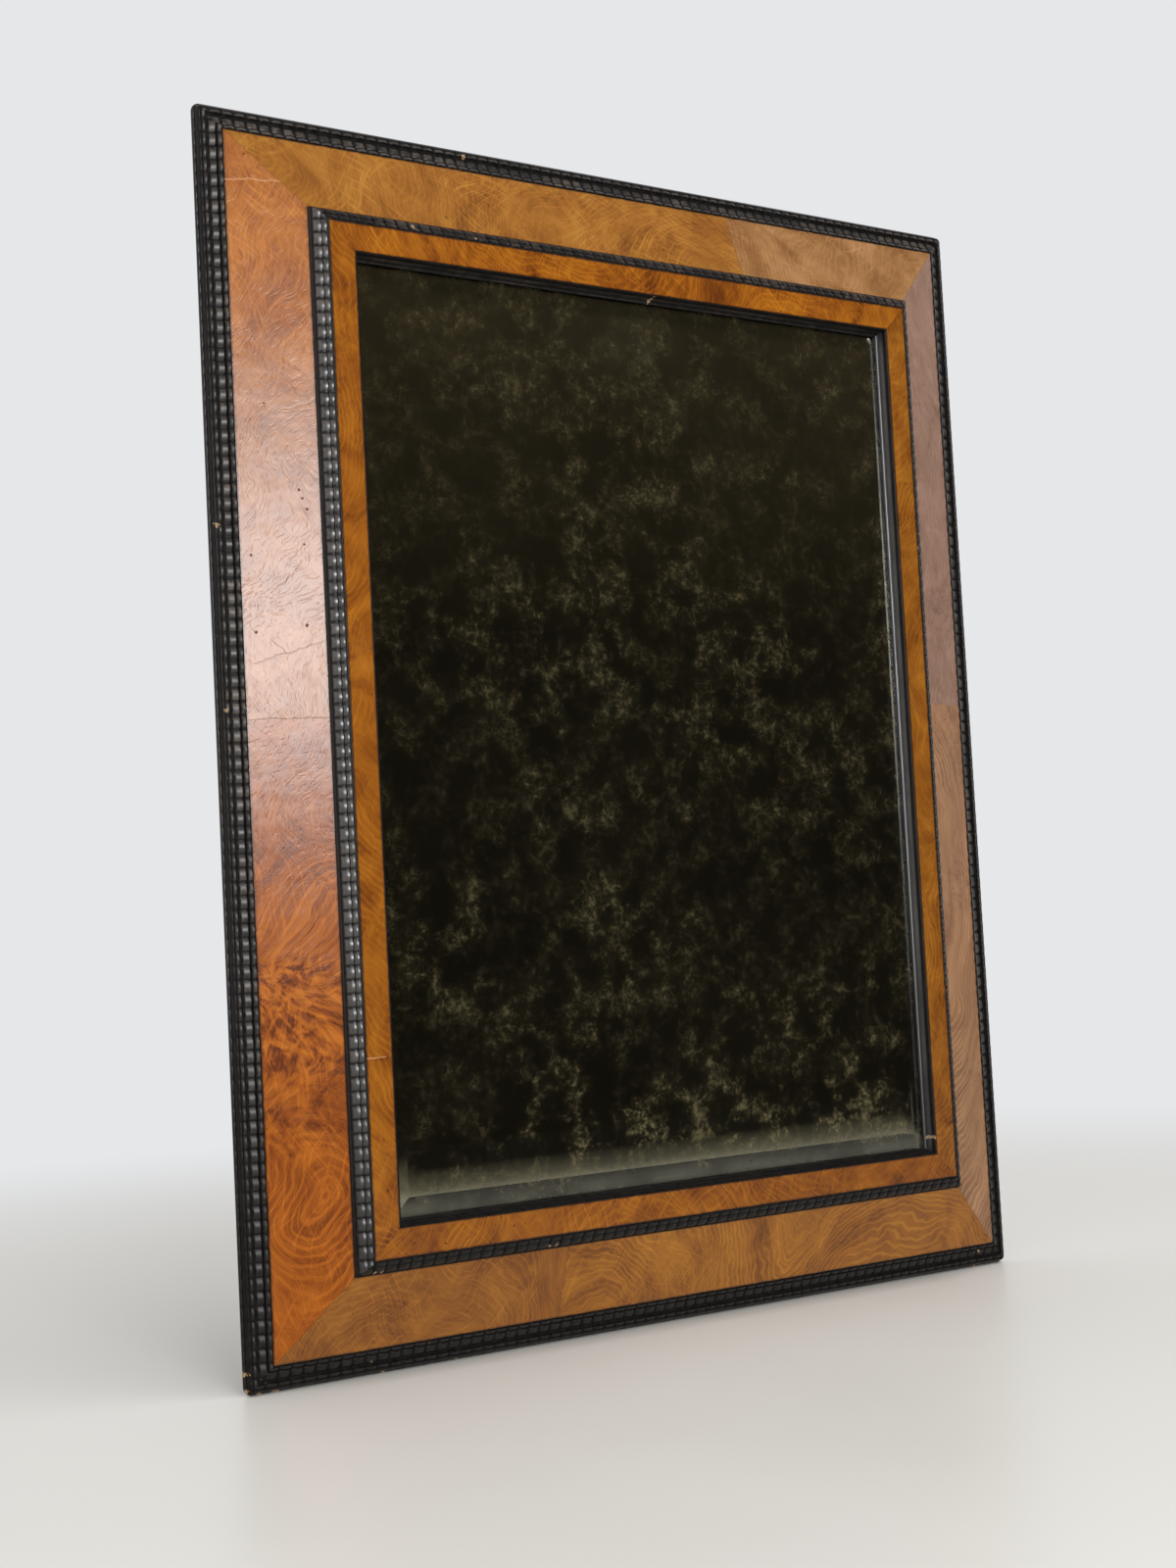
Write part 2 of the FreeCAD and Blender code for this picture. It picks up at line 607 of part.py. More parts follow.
def hanger_ring(side):
    """A D ring of round wire, drawn flat with its bar on X and its bow towards -Y."""
    wire = {"Radius": "sizes.ring_wire_radius"}
    inner_half = "(sizes.ring_half_width - sizes.ring_corner)"
    bow_centre = "(sizes.ring_reach - sizes.ring_half_width)"
    pieces = [primitive("Cylinder", {**wire, "Height": f"2 * {inner_half}"},
                        at=(f"-{inner_half}", "0", "0"), axis=Y_AXIS, turn=90)]
    for sign, turn in ((1, 0), (-1, 90)):
        pieces.append(primitive("Torus", {
            "Radius1": "sizes.ring_corner", "Radius2": "sizes.ring_wire_radius", "Angle3": "90",
        }, at=(f"{sign} * {inner_half}", "-sizes.ring_corner", "0"), axis=Z_AXIS, turn=turn))
        pieces.append(primitive("Cylinder", {
            **wire, "Height": f"{bow_centre} - sizes.ring_corner",
        }, at=(f"{sign} * sizes.ring_half_width", "-sizes.ring_corner", "0"), turn=90))
    pieces.append(primitive("Torus", {
        "Radius1": "sizes.ring_half_width", "Radius2": "sizes.ring_wire_radius", "Angle3": "180",
    }, at=("0", f"-{bow_centre}", "0"), axis=Z_AXIS, turn=180))
    ring = joined(pieces)
    place(ring, f"{UPRIGHTS[side]} * (sizes.overall_width / 2 - sizes.hanger_inset)",
          f"{BACK_Y} + {RING_BACK}", RING_HEIGHT, X_AXIS, 90)
    node(ring, f"hanger_ring_{side}")


def hanger_screw(side, drop):
    """A round-head screw with a straight slot, its shank towards the front."""
    dome_radius = ("((sizes.screw_head_radius ^ 2 + sizes.screw_head_height ^ 2)"
                   " / (2 * sizes.screw_head_height))")
    dome_drop = f"({dome_radius} - sizes.screw_head_height)"
    shank = primitive("Cylinder", {"Radius": "sizes.screw_radius", "Height": "sizes.screw_length"},
                      turn=90)
    head = primitive("Sphere", {"Radius": dome_radius, "Angle1": f"asin({dome_drop} / {dome_radius})",
                                "Angle2": "90"}, at=("0", f"-{dome_drop}", "0"), turn=-90)
    slot = primitive("Box", {"Length": "2 * sizes.screw_head_radius",
                             "Width": "sizes.screw_head_height",
                             "Height": "sizes.screw_slot_width"},
                     at=("-sizes.screw_head_radius",
                         "sizes.screw_head_height - sizes.screw_slot_depth",
                         "-sizes.screw_slot_width / 2"))
    screw = doc.addObject("Part::Cut", "Screw")
    screw.Base = joined([shank, head])
    screw.Tool = slot
    place(screw, f"{UPRIGHTS[side]} * (sizes.overall_width / 2 - sizes.hanger_inset)",
          f"{BACK_Y} + sizes.strap_thickness", f"{RING_HEIGHT} - {drop}")
    return screw


def write_parts():
    """Check every object, then write each sub-part to a file of its own name."""
    doc.recompute()
    for item in doc.Objects:
        if "Invalid" in item.State or "Error" in item.State:
            raise RuntimeError(f"{item.Label} failed: {item.State}")
        if item.TypeId == "PartDesign::Pocket":
            before = item.BaseFeature.Shape.Volume
            if before - item.Shape.Volume < MISSED_CUT_SHARE * before:
                raise RuntimeError(f"{item.Label} cuts nothing")
    for item in nodes:
        if item.Shape.isNull() or not item.Shape.isValid():
            raise RuntimeError(f"{item.Label} has no valid shape")
    os.makedirs("parts", exist_ok=True)
    for item in nodes:
        item.Shape.exportStep(f"parts/{item.Label}.step")
        print(item.Label, len(item.Shape.Solids), round(item.Shape.Volume), item.Shape.BoundBox)


for name in SIDES:
    carcass_member(name)
    inner_member(name)
    mouldings(name)
corner_feathers()
veneers()
mirror_glass()
glue_blocks()
backboards()
for name in UPRIGHTS:
    hanger_strap(name)
    hanger_ring(name)
grouped([hanger_screw(name, drop) for name in UPRIGHTS for drop in SCREW_DROPS], "hanger_screws")
write_parts()
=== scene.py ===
import math
from types import SimpleNamespace

import bpy
import numpy as np
from mathutils import Matrix, Vector


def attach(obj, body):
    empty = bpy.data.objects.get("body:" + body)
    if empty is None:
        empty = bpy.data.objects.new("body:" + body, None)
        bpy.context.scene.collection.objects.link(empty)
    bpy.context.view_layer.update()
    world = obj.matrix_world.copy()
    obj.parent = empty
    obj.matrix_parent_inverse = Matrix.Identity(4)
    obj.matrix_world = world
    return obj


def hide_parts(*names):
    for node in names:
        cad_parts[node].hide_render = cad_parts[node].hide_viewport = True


# Looks of the ripple frame mirror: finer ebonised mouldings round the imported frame, the
# materials of every piece, and a pale studio seen from the photograph's angle.
# Metres, in the row frame: the front faces -Y and the frame stands on z = 0.
#
# Two distances describe a point of the frame, as in the part's source:
#   inset  how far in from the frame's outer edge
#   depth  how far in front of the plane of the frame's back

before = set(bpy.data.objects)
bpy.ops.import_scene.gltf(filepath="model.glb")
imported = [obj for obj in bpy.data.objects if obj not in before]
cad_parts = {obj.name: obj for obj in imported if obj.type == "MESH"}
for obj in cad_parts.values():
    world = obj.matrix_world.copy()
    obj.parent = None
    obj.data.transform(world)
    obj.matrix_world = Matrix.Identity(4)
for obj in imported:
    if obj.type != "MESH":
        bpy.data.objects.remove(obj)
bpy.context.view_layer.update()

MM = 0.001
HALF_WIDTH = 285.5 * MM
HEIGHT = 720 * MM
BACK_Y = 13.725 * MM

# Insets where one band of the frame gives way to the next
BAND_START = 15.2 * MM
BAND_END = 58.6 * MM
INNER_START = 67.4 * MM
SIGHT_START = 83.4 * MM


# Node trees

# Sockets of the Mix node that carry colours
MIX_FIRST, MIX_SECOND, MIX_RESULT = 6, 7, 2

# Stretch that flattens a vector into the plan
IN_PLAN = (1, 0, 1)

# Where nearly all of a noise's values lie
USUAL = (0.3, 0.7)


class Tree:
    """The node tree of one material or world, with a short method for each kind of node used.

    Scales of noises are in cycles per metre.
    """

    def __init__(self, name, home=bpy.data.materials):
        self.owner = home.new(name)
        self.owner.use_nodes = True
        self.nodes = self.owner.node_tree.nodes
        self.links = self.owner.node_tree.links

    def link(self, socket, value):
        """Links a socket to another one, or writes a constant on it."""
        if isinstance(value, bpy.types.NodeSocket):
            self.links.new(value, socket)
        else:
            socket.default_value = value

    def feed(self, node, *values, **inputs):
        """Sets a node's inputs, in their order or by name, with underscores for spaces."""
        for socket, value in zip(node.inputs, values):
            self.link(socket, value)
        for name, value in inputs.items():
            self.link(node.inputs[name.replace("_", " ")], value)
        return node

    def new(self, kind, **settings):
        """A new node with its settings."""
        node = self.nodes.new("ShaderNode" + kind)
        for name, value in settings.items():
            setattr(node, name, value)
        return node

    def finish(self, **inputs):
        """Sets the inputs of the material's own shader."""
        self.feed(self.nodes["Principled BSDF"], **inputs)
        return self.owner

    def place(self):
        """Where the point lies in the row frame, in metres."""
        return self.new("TexCoord").outputs["Object"]

    def math(self, operation, first, second=0.0, third=0.0):
        return self.feed(self.new("Math", operation=operation), first, second, third).outputs["Value"]

    def plus(self, first, second):
        return self.math("ADD", first, second)

    def minus(self, first, second):
        return self.math("SUBTRACT", first, second)

    def times(self, first, second):
        return self.math("MULTIPLY", first, second)

    def over(self, first, second):
        return self.math("DIVIDE", first, second)

    def most(self, first, second):
        return self.math("MAXIMUM", first, second)

    def vector(self, operation, first, second=(0, 0, 0)):
        node = self.feed(self.new("VectorMath", operation=operation), first, second)
        return node.outputs["Value" if operation == "LENGTH" else "Vector"]

    def away(self, vector, x, z, stretch=None):
        """Distance from (x, z) in plan, with a stretch along each axis where one is given."""
        offset = self.vector("SUBTRACT", vector, (x, 0, z))
        if stretch:
            offset = self.vector("MULTIPLY", offset, stretch)
        return self.vector("LENGTH", offset)

    def split(self, vector):
        return self.feed(self.new("SeparateXYZ"), vector).outputs

    def join(self, x, y, z):
        return self.feed(self.new("CombineXYZ"), x, y, z).outputs[0]

    def noise(self, vector, scale, detail=2.0, roughness=0.5, distortion=0.0, colour=False):
        node = self.feed(self.new("TexNoise"), Vector=vector, Scale=scale, Detail=detail,
                         Roughness=roughness, Distortion=distortion)
        return node.outputs["Color" if colour else "Fac"]

    def wander(self, vector, field, scale, reach, detail=1.0, roughness=0.5):
        """Pushes a vector about in plan, by a noise of the field times the reach."""
        noise = self.noise(field, scale, detail, roughness, colour=True)
        push = self.vector("SUBTRACT", noise, (0.5, 0.5, 0.5))
        return self.vector("ADD", vector, self.vector("MULTIPLY", push, (reach, 0, reach)))

    def cells(self, vector, scale):
        """Distance to the nearest of scattered points."""
        return self.feed(self.new("TexVoronoi"), Vector=vector, Scale=scale).outputs["Distance"]

    def ramp(self, value, stops):
        """A colour from (position, colour) stops."""
        node = self.feed(self.new("ValToRGB"), value)
        elements = node.color_ramp.elements
        stops = list(stops)
        while len(elements) < len(stops):
            elements.new(0.5)
        for element, (position, colour) in zip(elements, stops):
            element.position = position
            element.color = colour
        return node.outputs["Color"]

    def span(self, value, low, high, to_low=0.0, to_high=1.0):
        """Moves low..high smoothly to to_low..to_high and holds the ends."""
        node = self.feed(self.new("MapRange", interpolation_type="SMOOTHSTEP"), Value=value,
                         From_Min=low, From_Max=high, To_Min=to_low, To_Max=to_high)
        return node.outputs["Result"]

    def mix(self, factor, first, second):
        """Colour mix from first to second."""
        node = self.feed(self.new("Mix", data_type="RGBA"), factor)
        self.link(node.inputs[MIX_FIRST], first)
        self.link(node.inputs[MIX_SECOND], second)
        return node.outputs[MIX_RESULT]

    def bump(self, height, distance, strength=1.0, normal=None):
        node = self.feed(self.new("Bump"), Height=height, Distance=distance, Strength=strength)
        if normal is not None:
            self.feed(node, Normal=normal)
        return node.outputs["Normal"]

    def attribute(self, name):
        return self.new("Attribute", attribute_name=name).outputs["Fac"]

    def rays(self, *kinds):
        """1 for rays of these kinds, and 0 for all others."""
        path = self.new("LightPath").outputs
        share = path[kinds[0]]
        for kind in kinds[1:]:
            share = self.most(share, path[kind])
        return share

    def glow(self, colour):
        """Plain light of a colour."""
        return self.feed(self.new("Emission"), Color=colour).outputs[0]

    def blend(self, factor, first, second):
        """Shader mix from first to second."""
        return self.feed(self.new("MixShader"), factor, first, second).outputs[0]

    def show(self, shader, output="Material Output"):
        """Makes a shader the one that is seen."""
        self.feed(self.nodes[output], Surface=shader)
        return self.owner


def linear(red, green, blue):
    """A display colour, 0 to 255, as the linear colour that the nodes take, by the sRGB curve."""
    def channel(value):
        share = value / 255
        return share / 12.92 if share <= 0.04045 else ((share + 0.055) / 1.055) ** 2.4
    return (channel(red), channel(green), channel(blue), 1.0)


def shaded(colour, factors):
    """A colour with a factor on each of its channels."""
    return tuple(min(1.0, channel * factor) for channel, factor in zip(colour, factors)) + (1.0,)


# Burl veneer

# How each step of the figure departs from a leaf's own colour, as factors on linear light
DARKEST = (0.38, 0.30, 0.25)
DARK = (0.76, 0.68, 0.6)
LIGHT = (1.5, 1.72, 2.3)

# Pale pink of the bleach, and of the painted sheen, on the left band
BLEACH_AND_SHEEN = linear(142, 106, 90)
SPECK = linear(84, 44, 22)
# Colour of the painted shade along a band's edges, and of its dark mitre joints
EDGE_SHADE_AND_JOINTS = linear(40, 24, 14)
DARK_MARK = linear(92, 50, 24)
PALE_MARK = linear(214, 160, 118)

# How the whole figure is bent: a slow sweep, and a quick curl whose reach each leaf gives
SWEEP_SCALE = 15.0
SWEEP_REACH = 0.05
CURL_SCALE = 105.0

# Curls are narrower than tall, and merge over a short way
CURL_SHAPE = (1.35, 0, 1)
CURL_MERGE = 15 * MM

# Rings of the growth's parts, and the way along them over which they change
THIN_RING, THIN_DRIFT = 1.7 * MM, 25 * MM
BROAD_RING, BROAD_DRIFT = 11 * MM, 90 * MM
FIBRE_RING, FIBRE_DRIFT = 0.5 * MM, 10 * MM

# Noises that make the arcs uneven, in rings, and strong or weak
UNEVEN_SCALE = 33.0
UNEVEN_RINGS = 3.0
STRONG_SCALE = 17.0

CLOUD_SCALE = 38.0
BLOTCH_SCALE = 120.0
FAINT_BLOTCHES = 0.08

# Width and length of the strokes in each of the two slants, and of the wrinkles in the polish
STROKE_SIZES = ((0.9 * MM, 34 * MM), (0.8 * MM, 26 * MM))
STROKE_PATCHES = 24.0
WRINKLE_SIZE = (0.9 * MM, 5 * MM)

WISP_SCALE = 62.0
WISP_PATCHES = 21.0

# How far each part pushes the figure, beside what the leaf gives
ARC_SHARE = 0.42
THIN_SHARE = 0.08
BROAD_SHARE = 0.35
FIBRE_SHARE = 0.14
STROKE_SHARE = 0.5
WISP_SHARE = 0.14

PORE_SHARE = 0.35
WORM_HOLE_SCALE = 150.0
WORM_HOLE_PATCHES = 55.0

# Painted shade lies along both edges of a band, where it meets the mouldings, and a dark joint line in a
# hair's width along the mitres
EDGE_SHADE_SCALE = 160.0
LOW_EDGE = 1.3 * MM
HIGH_EDGE = 1.1 * MM
MITRE_LINE = (0.1 * MM, 0.45 * MM)

# Cracks and scratches: half their width, the fade of their ends, and their wavering
MARK_WIDTH = 0.25 * MM
MARK_FADE = 1 * MM
WAVER = 6 * MM
WAVER_SCALE = 110.0

# Heights between which a paled leaf is bleached and given a painted pale sheen, with the fade at each end
SHEEN_AND_BLEACH_FOOT = (0.29, 0.38)
SHEEN_AND_BLEACH_HEAD = (0.54, 0.6)

# Heights between which the polish of a leaf that is worn at its foot comes back
POLISH_WEAR = (0.2, 0.35)

# What a leaf is where it gives nothing else
USUAL_LEAF = dict(strokes=0.5, curl=5, ring=4.4, spread=1.0, slants=(38, -47), zones=(), marks=(),
                  specks=(), faded=0.0, polished=1.0)

# A scratch that runs on over the seam of the two leaves at the top left
SCRATCH = ((-0.271, 0.6758), (-0.24, 0.6758), 0.4, PALE_MARK)

# Each leaf of the wide band:
#   tone      its display colour
#   centres   places in plan (x, z) round which the growth curls
#   lines, clouds, strokes   how strong the growth lines, the clouds and the crossing strokes are
#   curl      reach of the quick bends, in millimetres
#   ring      width of the growth arcs in millimetres, which fade out by spread, in metres
#   slants    the directions of the strokes, in degrees from upright
#   zones     blotched places: centre, radius and strength
#   marks     cracks and scratches: start, end, strength and colour
#   paled     how far the window has bleached it, with a painted sheen over the same heights
#   faded     how far the window has bleached it
#   polished  how much polish is left at its foot
WIDE_LEAVES = {
    "left_top": dict(
        tone=(161, 93, 25), centres=[(-0.15, 0.76)], lines=0.2, clouds=0.35, strokes=0.9, curl=3,
        slants=(-50, 30), marks=[SCRATCH]),
    "left_upper": dict(
        tone=(160, 92, 26), centres=[(-0.05, 0.52)], lines=0.3, clouds=0.5, strokes=0.8, curl=7,
        slants=(24, -36), faded=0.5,
        zones=[((-0.239, 0.546), 0.028, 0.6), ((-0.245, 0.505), 0.03, 0.3)],
        marks=[SCRATCH, ((-0.266, 0.4), (-0.228, 0.412), 0.35, DARK_MARK),
               ((-0.271, 0.3688), (-0.226, 0.3688), 0.4, DARK_MARK)],
        specks=[((-0.2379, 0.4983), 0.9 * MM), ((-0.2363, 0.4934), 0.8 * MM), ((-0.234, 0.4872), 0.9 * MM),
                ((-0.2646, 0.4613), 0.8 * MM), ((-0.2368, 0.4212), 1.0 * MM), ((-0.2636, 0.4178), 0.9 * MM)]),
    "left_lower": dict(
        tone=(150, 78, 10), centres=[(-0.226, 0.236), (-0.243, 0.105)], lines=0.75, clouds=0.35,
        strokes=0.8, curl=2, ring=6.2, spread=0.075, faded=0.25, polished=0.35, slants=(28, -20),
        zones=[((-0.249, 0.205), 0.05, 1.4), ((-0.25, 0.15), 0.03, 0.8)]),
    "right_upper": dict(
        tone=(135, 98, 76), centres=[(0.1, 0.56)], lines=0.2, clouds=0.35, strokes=0.4, curl=4,
        slants=(5, -25)),
    "right_lower": dict(
        tone=(143, 97, 56), centres=[(0.165, 0.265)], lines=0.9, clouds=0.25, strokes=0.2, curl=3,
        slants=(5, -25)),
    "top_left": dict(
        tone=(146, 93, 27), centres=[(0.03, 0.6)], lines=0.3, clouds=0.4, strokes=0.9, curl=6,
        slants=(52, -58)),
    "top_right": dict(
        tone=(147, 103, 59), centres=[(0.3, 0.56)], lines=0.3, clouds=0.5, strokes=0.5, curl=5,
        slants=(70, -50), marks=[((0.0876, 0.705), (0.0876, 0.661), 0.5, DARK_MARK)]),
    "bottom_left": dict(
        tone=(140, 84, 19), centres=[(-0.19, -0.04)], lines=0.4, clouds=0.5, strokes=0.9, curl=8,
        slants=(42, -38)),
    "bottom_right": dict(
        tone=(149, 91, 18), centres=[(-0.085, -0.05), (0.19, -0.16)], lines=0.75, clouds=0.4,
        strokes=0.5, curl=6, slants=(40, -60),
        marks=[((-0.0852, 0.015), (-0.0852, 0.059), 0.5, DARK_MARK)]),
}

# The same for the inner band, with what its leaves on the left and right share
INNER_LEFT = dict(tone=(142, 81, 8), clouds=0.6, slants=(16, -30))
INNER_RIGHT = dict(tone=(134, 79, 14), clouds=0.6, slants=(10, -25))
INNER_LEAVES = {
    "left_upper": dict(INNER_LEFT, centres=[(-0.29, 0.56), (-0.16, 0.38)], lines=0.5),
    "left_lower": dict(INNER_LEFT, centres=[(-0.18, 0.19)], lines=0.6,
                       marks=[((-0.218, 0.1786), (-0.202, 0.1786), 0.5, PALE_MARK)]),
    "right_upper": dict(INNER_RIGHT, centres=[(0.16, 0.66)], lines=0.5),
    "right_lower": dict(INNER_RIGHT, centres=[(0.12, 0.26), (0.29, 0.4)], lines=0.6),
    "top": dict(tone=(145, 82, 8), centres=[(-0.05, 0.76), (0.12, 0.56)], lines=0.5, clouds=0.65,
                strokes=1.0, slants=(30, -40)),
    "bottom": dict(tone=(133, 74, 4), centres=[(-0.06, -0.06), (0.11, 0.19)], lines=0.5, clouds=0.65,
                   strokes=1.0, slants=(40, -35)),
}


class Burl(Tree):
    """The node tree of one leaf of burl veneer, with a method for each part of its looks."""

    def __init__(self, name, seed, leaf):
        super().__init__("burl_" + name)
        self.seed = seed
        self.leaf = leaf
        self.spot = self.place()
        self.x, _, self.z = self.split(self.spot)
        self.plan = self.join(self.x, seed, self.z)
        self.swept = self.wander(self.plan, self.plan, SWEEP_SCALE, SWEEP_REACH)
        self.bent = self.wander(self.swept, self.plan, CURL_SCALE, leaf.curl * MM)
        self.reach = self.curl_reach()
        self.fibres = self.grown(FIBRE_RING, FIBRE_DRIFT, 2.0)
        self.pores = self.span(self.fibres, 0.24, 0.32, 1.0, 0.0)

    def curl_reach(self):
        """Distance from the nearest of the curl centres."""
        first, *others = [self.away(self.bent, x, z, CURL_SHAPE) for x, z in self.leaf.centres]
        for other in others:
            first = self.math("SMOOTH_MIN", first, other, CURL_MERGE)
        return first

    def grown(self, ring, drift, detail=1.0):
        """Growth figure a ring apart round the curl centres, which changes over drift along them."""
        x, _, z = self.split(self.bent)
        return self.noise(self.join(self.over(self.reach, ring), self.over(x, drift), self.over(z, drift)),
                          1.0, detail)

    def streaks(self, vector, seed, angle, width, length):
        """Noise drawn out along a direction, turned by angle from upright, in streaks of that size."""
        x, _, z = self.split(vector)
        turn = math.radians(angle)
        across = self.minus(self.times(x, math.cos(turn)), self.times(z, math.sin(turn)))
        along = self.plus(self.times(x, math.sin(turn)), self.times(z, math.cos(turn)))
        return self.noise(self.join(self.over(across, width), seed, self.over(along, length)), 1.0, 1.0)

    def centred(self, value, share):
        """A noise of about 0.3 to 0.7 as a push of the figure up or down by up to half share."""
        return self.times(self.minus(value, 0.5), 2.5 * share)

    def lines_of(self, value, width):
        """Thin soft lines where a noise crosses its middle value, from 0 to 1."""
        return self.span(self.math("ABSOLUTE", self.minus(value, 0.5)), 0.0, width, 1.0, 0.0)

    def growth(self):
        """The growth: arcs round the curls, thin lines and broad bands."""
        leaf = self.leaf
        uneven = self.times(self.noise(self.swept, UNEVEN_SCALE), UNEVEN_RINGS)
        turns = self.plus(self.over(self.reach, leaf.ring * MM), uneven)
        wave = self.math("SINE", self.times(turns, 2 * math.pi))
        arcs = self.times(self.span(wave, 0.1, 1.0),
                          self.span(self.reach, 0.7 * leaf.spread, leaf.spread, 1.0, 0.15))
        strong = self.span(self.noise(self.swept, STRONG_SCALE, 1.0), 0.38, 0.6, 0.3, 1.0)
        thin = self.lines_of(self.grown(THIN_RING, THIN_DRIFT), 0.14)
        growth = self.times(self.minus(arcs, 0.35), self.times(strong, ARC_SHARE * leaf.lines))
        growth = self.plus(growth, self.times(self.minus(thin, 0.35), THIN_SHARE * leaf.lines))
        return self.plus(growth, self.centred(self.grown(BROAD_RING, BROAD_DRIFT), BROAD_SHARE * leaf.lines))

    def blotches(self):
        """Fine blotches, faint all over and strong in the leaf's zones."""
        share = FAINT_BLOTCHES
        for (x, z), radius, strength in self.leaf.zones:
            away = self.away(self.swept, x, z, IN_PLAN)
            share = self.most(share, self.span(away, radius * 0.5, radius, strength, FAINT_BLOTCHES))
        return self.times(self.centred(self.noise(self.bent, BLOTCH_SCALE, 3.0, 0.6, 0.6), 1.0), share)

    def strokes(self):
        """Light strokes in two crossing slants, in patches."""
        first, second = [self.span(self.streaks(self.swept, self.seed + 9 * number, slant, *size), 0.5, 0.8)
                         for number, (slant, size) in enumerate(zip(self.leaf.slants, STROKE_SIZES))]
        patches = self.span(self.noise(self.plan, STROKE_PATCHES, 1.0), 0.36, 0.56, 0.25, 1.0)
        return self.times(self.most(first, second), patches)

    def wisps(self):
        """Thin dark wisps here and there."""
        lines = self.lines_of(self.noise(self.swept, WISP_SCALE, 3.0, 0.6), 0.04)
        return self.times(lines, self.span(self.noise(self.plan, WISP_PATCHES, 1.0), 0.48, 0.6))

    def figure(self):
        """The whole figure: dark at 0, the leaf's own colour at a half and light at 1."""
        leaf = self.leaf
        clouds = self.noise(self.swept, CLOUD_SCALE, 4.0, 0.62, 0.5)
        figure = self.plus(self.growth(), self.centred(clouds, leaf.clouds))
        figure = self.plus(figure, self.blotches())
        figure = self.plus(figure, self.centred(self.fibres, FIBRE_SHARE))
        figure = self.plus(figure, self.times(self.minus(self.strokes(), 0.2), STROKE_SHARE * leaf.strokes))
        figure = self.minus(figure, self.times(self.wisps(), WISP_SHARE))
        return self.plus(figure, 0.5)

    def wood(self):
        """The colour of the wood, bleached and painted with a pale sheen where the leaf is paled, with its
        pores.
        """
        middle = linear(*self.leaf.tone)
        darkest, dark, light = [shaded(middle, factors) for factors in (DARKEST, DARK, LIGHT)]
        colour = self.ramp(self.figure(), [(0.0, darkest), (0.3, dark), (0.5, middle), (1.0, light)])
        # A pale band over the heights where the window's sheen falls: partly bleaching, partly painted sheen
        if self.leaf.faded:
            bleach_and_sheen = self.times(self.span(self.z, *SHEEN_AND_BLEACH_FOOT),
                                self.span(self.z, *SHEEN_AND_BLEACH_HEAD, self.leaf.faded, 0.0))
            colour = self.mix(bleach_and_sheen, colour, BLEACH_AND_SHEEN)
        return self.mix(self.times(self.pores, PORE_SHARE), colour, darkest)

    def holes(self):
        """Scarce small worm holes, and the leaf's own specks."""
        spots = self.span(self.cells(self.bent, WORM_HOLE_SCALE), 0.06, 0.16, 1.0, 0.0)
        holes = self.times(spots, self.span(self.noise(self.plan, WORM_HOLE_PATCHES, 1.0), 0.62, 0.67))
        flat = self.join(self.x, 0.0, self.z)
        for (x, z), radius in self.leaf.specks:
            holes = self.most(holes, self.span(self.away(flat, x, z), radius * 0.6, radius, 1.0, 0.0))
        return holes

    def insets(self):
        """The point's inset from its own side of the frame, and its distance from the mitre."""
        from_side = self.minus(HALF_WIDTH, self.math("ABSOLUTE", self.x))
        from_middle = self.math("ABSOLUTE", self.minus(self.z, HEIGHT / 2))
        from_end = self.minus(HEIGHT / 2, from_middle)
        apart = self.math("ABSOLUTE", self.minus(from_side, from_end))
        return self.math("MINIMUM", from_side, from_end), self.times(apart, math.sqrt(0.5))

    def edge_shade_and_joints(self, band):
        """Painted shade along the edges of the band, where it meets the mouldings, and dark joint lines in
        its mitres.
        """
        start, end = band
        inset, from_mitre = self.insets()
        low = self.span(inset, start, start + LOW_EDGE, 0.9, 0.0)
        high = self.span(inset, end - HIGH_EDGE, end, 0.0, 0.7)
        joint = self.span(from_mitre, *MITRE_LINE, 0.25, 0.0)
        patches = self.span(self.noise(self.spot, EDGE_SHADE_SCALE), 0.2, 0.6, 0.35, 1.0)
        return self.times(self.most(self.most(low, high), joint), patches)

    def mark(self, start, end):
        """1 on a slightly wavering line between two points of the plan, and 0 away from it."""
        run = math.dist(start, end)
        ahead_x, ahead_z = (end[0] - start[0]) / run, (end[1] - start[1]) / run
        from_x, from_z = self.minus(self.x, start[0]), self.minus(self.z, start[1])
        along = self.plus(self.times(from_x, ahead_x), self.times(from_z, ahead_z))
        across = self.minus(self.times(from_x, ahead_z), self.times(from_z, ahead_x))
        waver = self.minus(self.noise(self.join(along, 0.0, 0.0), WAVER_SCALE, 4.0, 0.6), 0.5)
        off = self.math("ABSOLUTE", self.plus(across, self.times(waver, WAVER)))
        near = self.span(off, MARK_WIDTH, 3 * MARK_WIDTH, 1.0, 0.0)
        inside = self.times(self.span(along, -MARK_FADE, MARK_FADE),
                            self.span(along, run - MARK_FADE, run + MARK_FADE, 1.0, 0.0))
        return self.times(near, inside)

    def marked(self, colour):
        """A colour with the leaf's cracks and scratches on it, and how strong they are."""
        cracks = 0.0
        for start, end, strength, tone in self.leaf.marks:
            shown = self.times(self.mark(start, end), strength)
            colour = self.mix(shown, colour, tone)
            cracks = self.most(cracks, shown)
        return colour, cracks

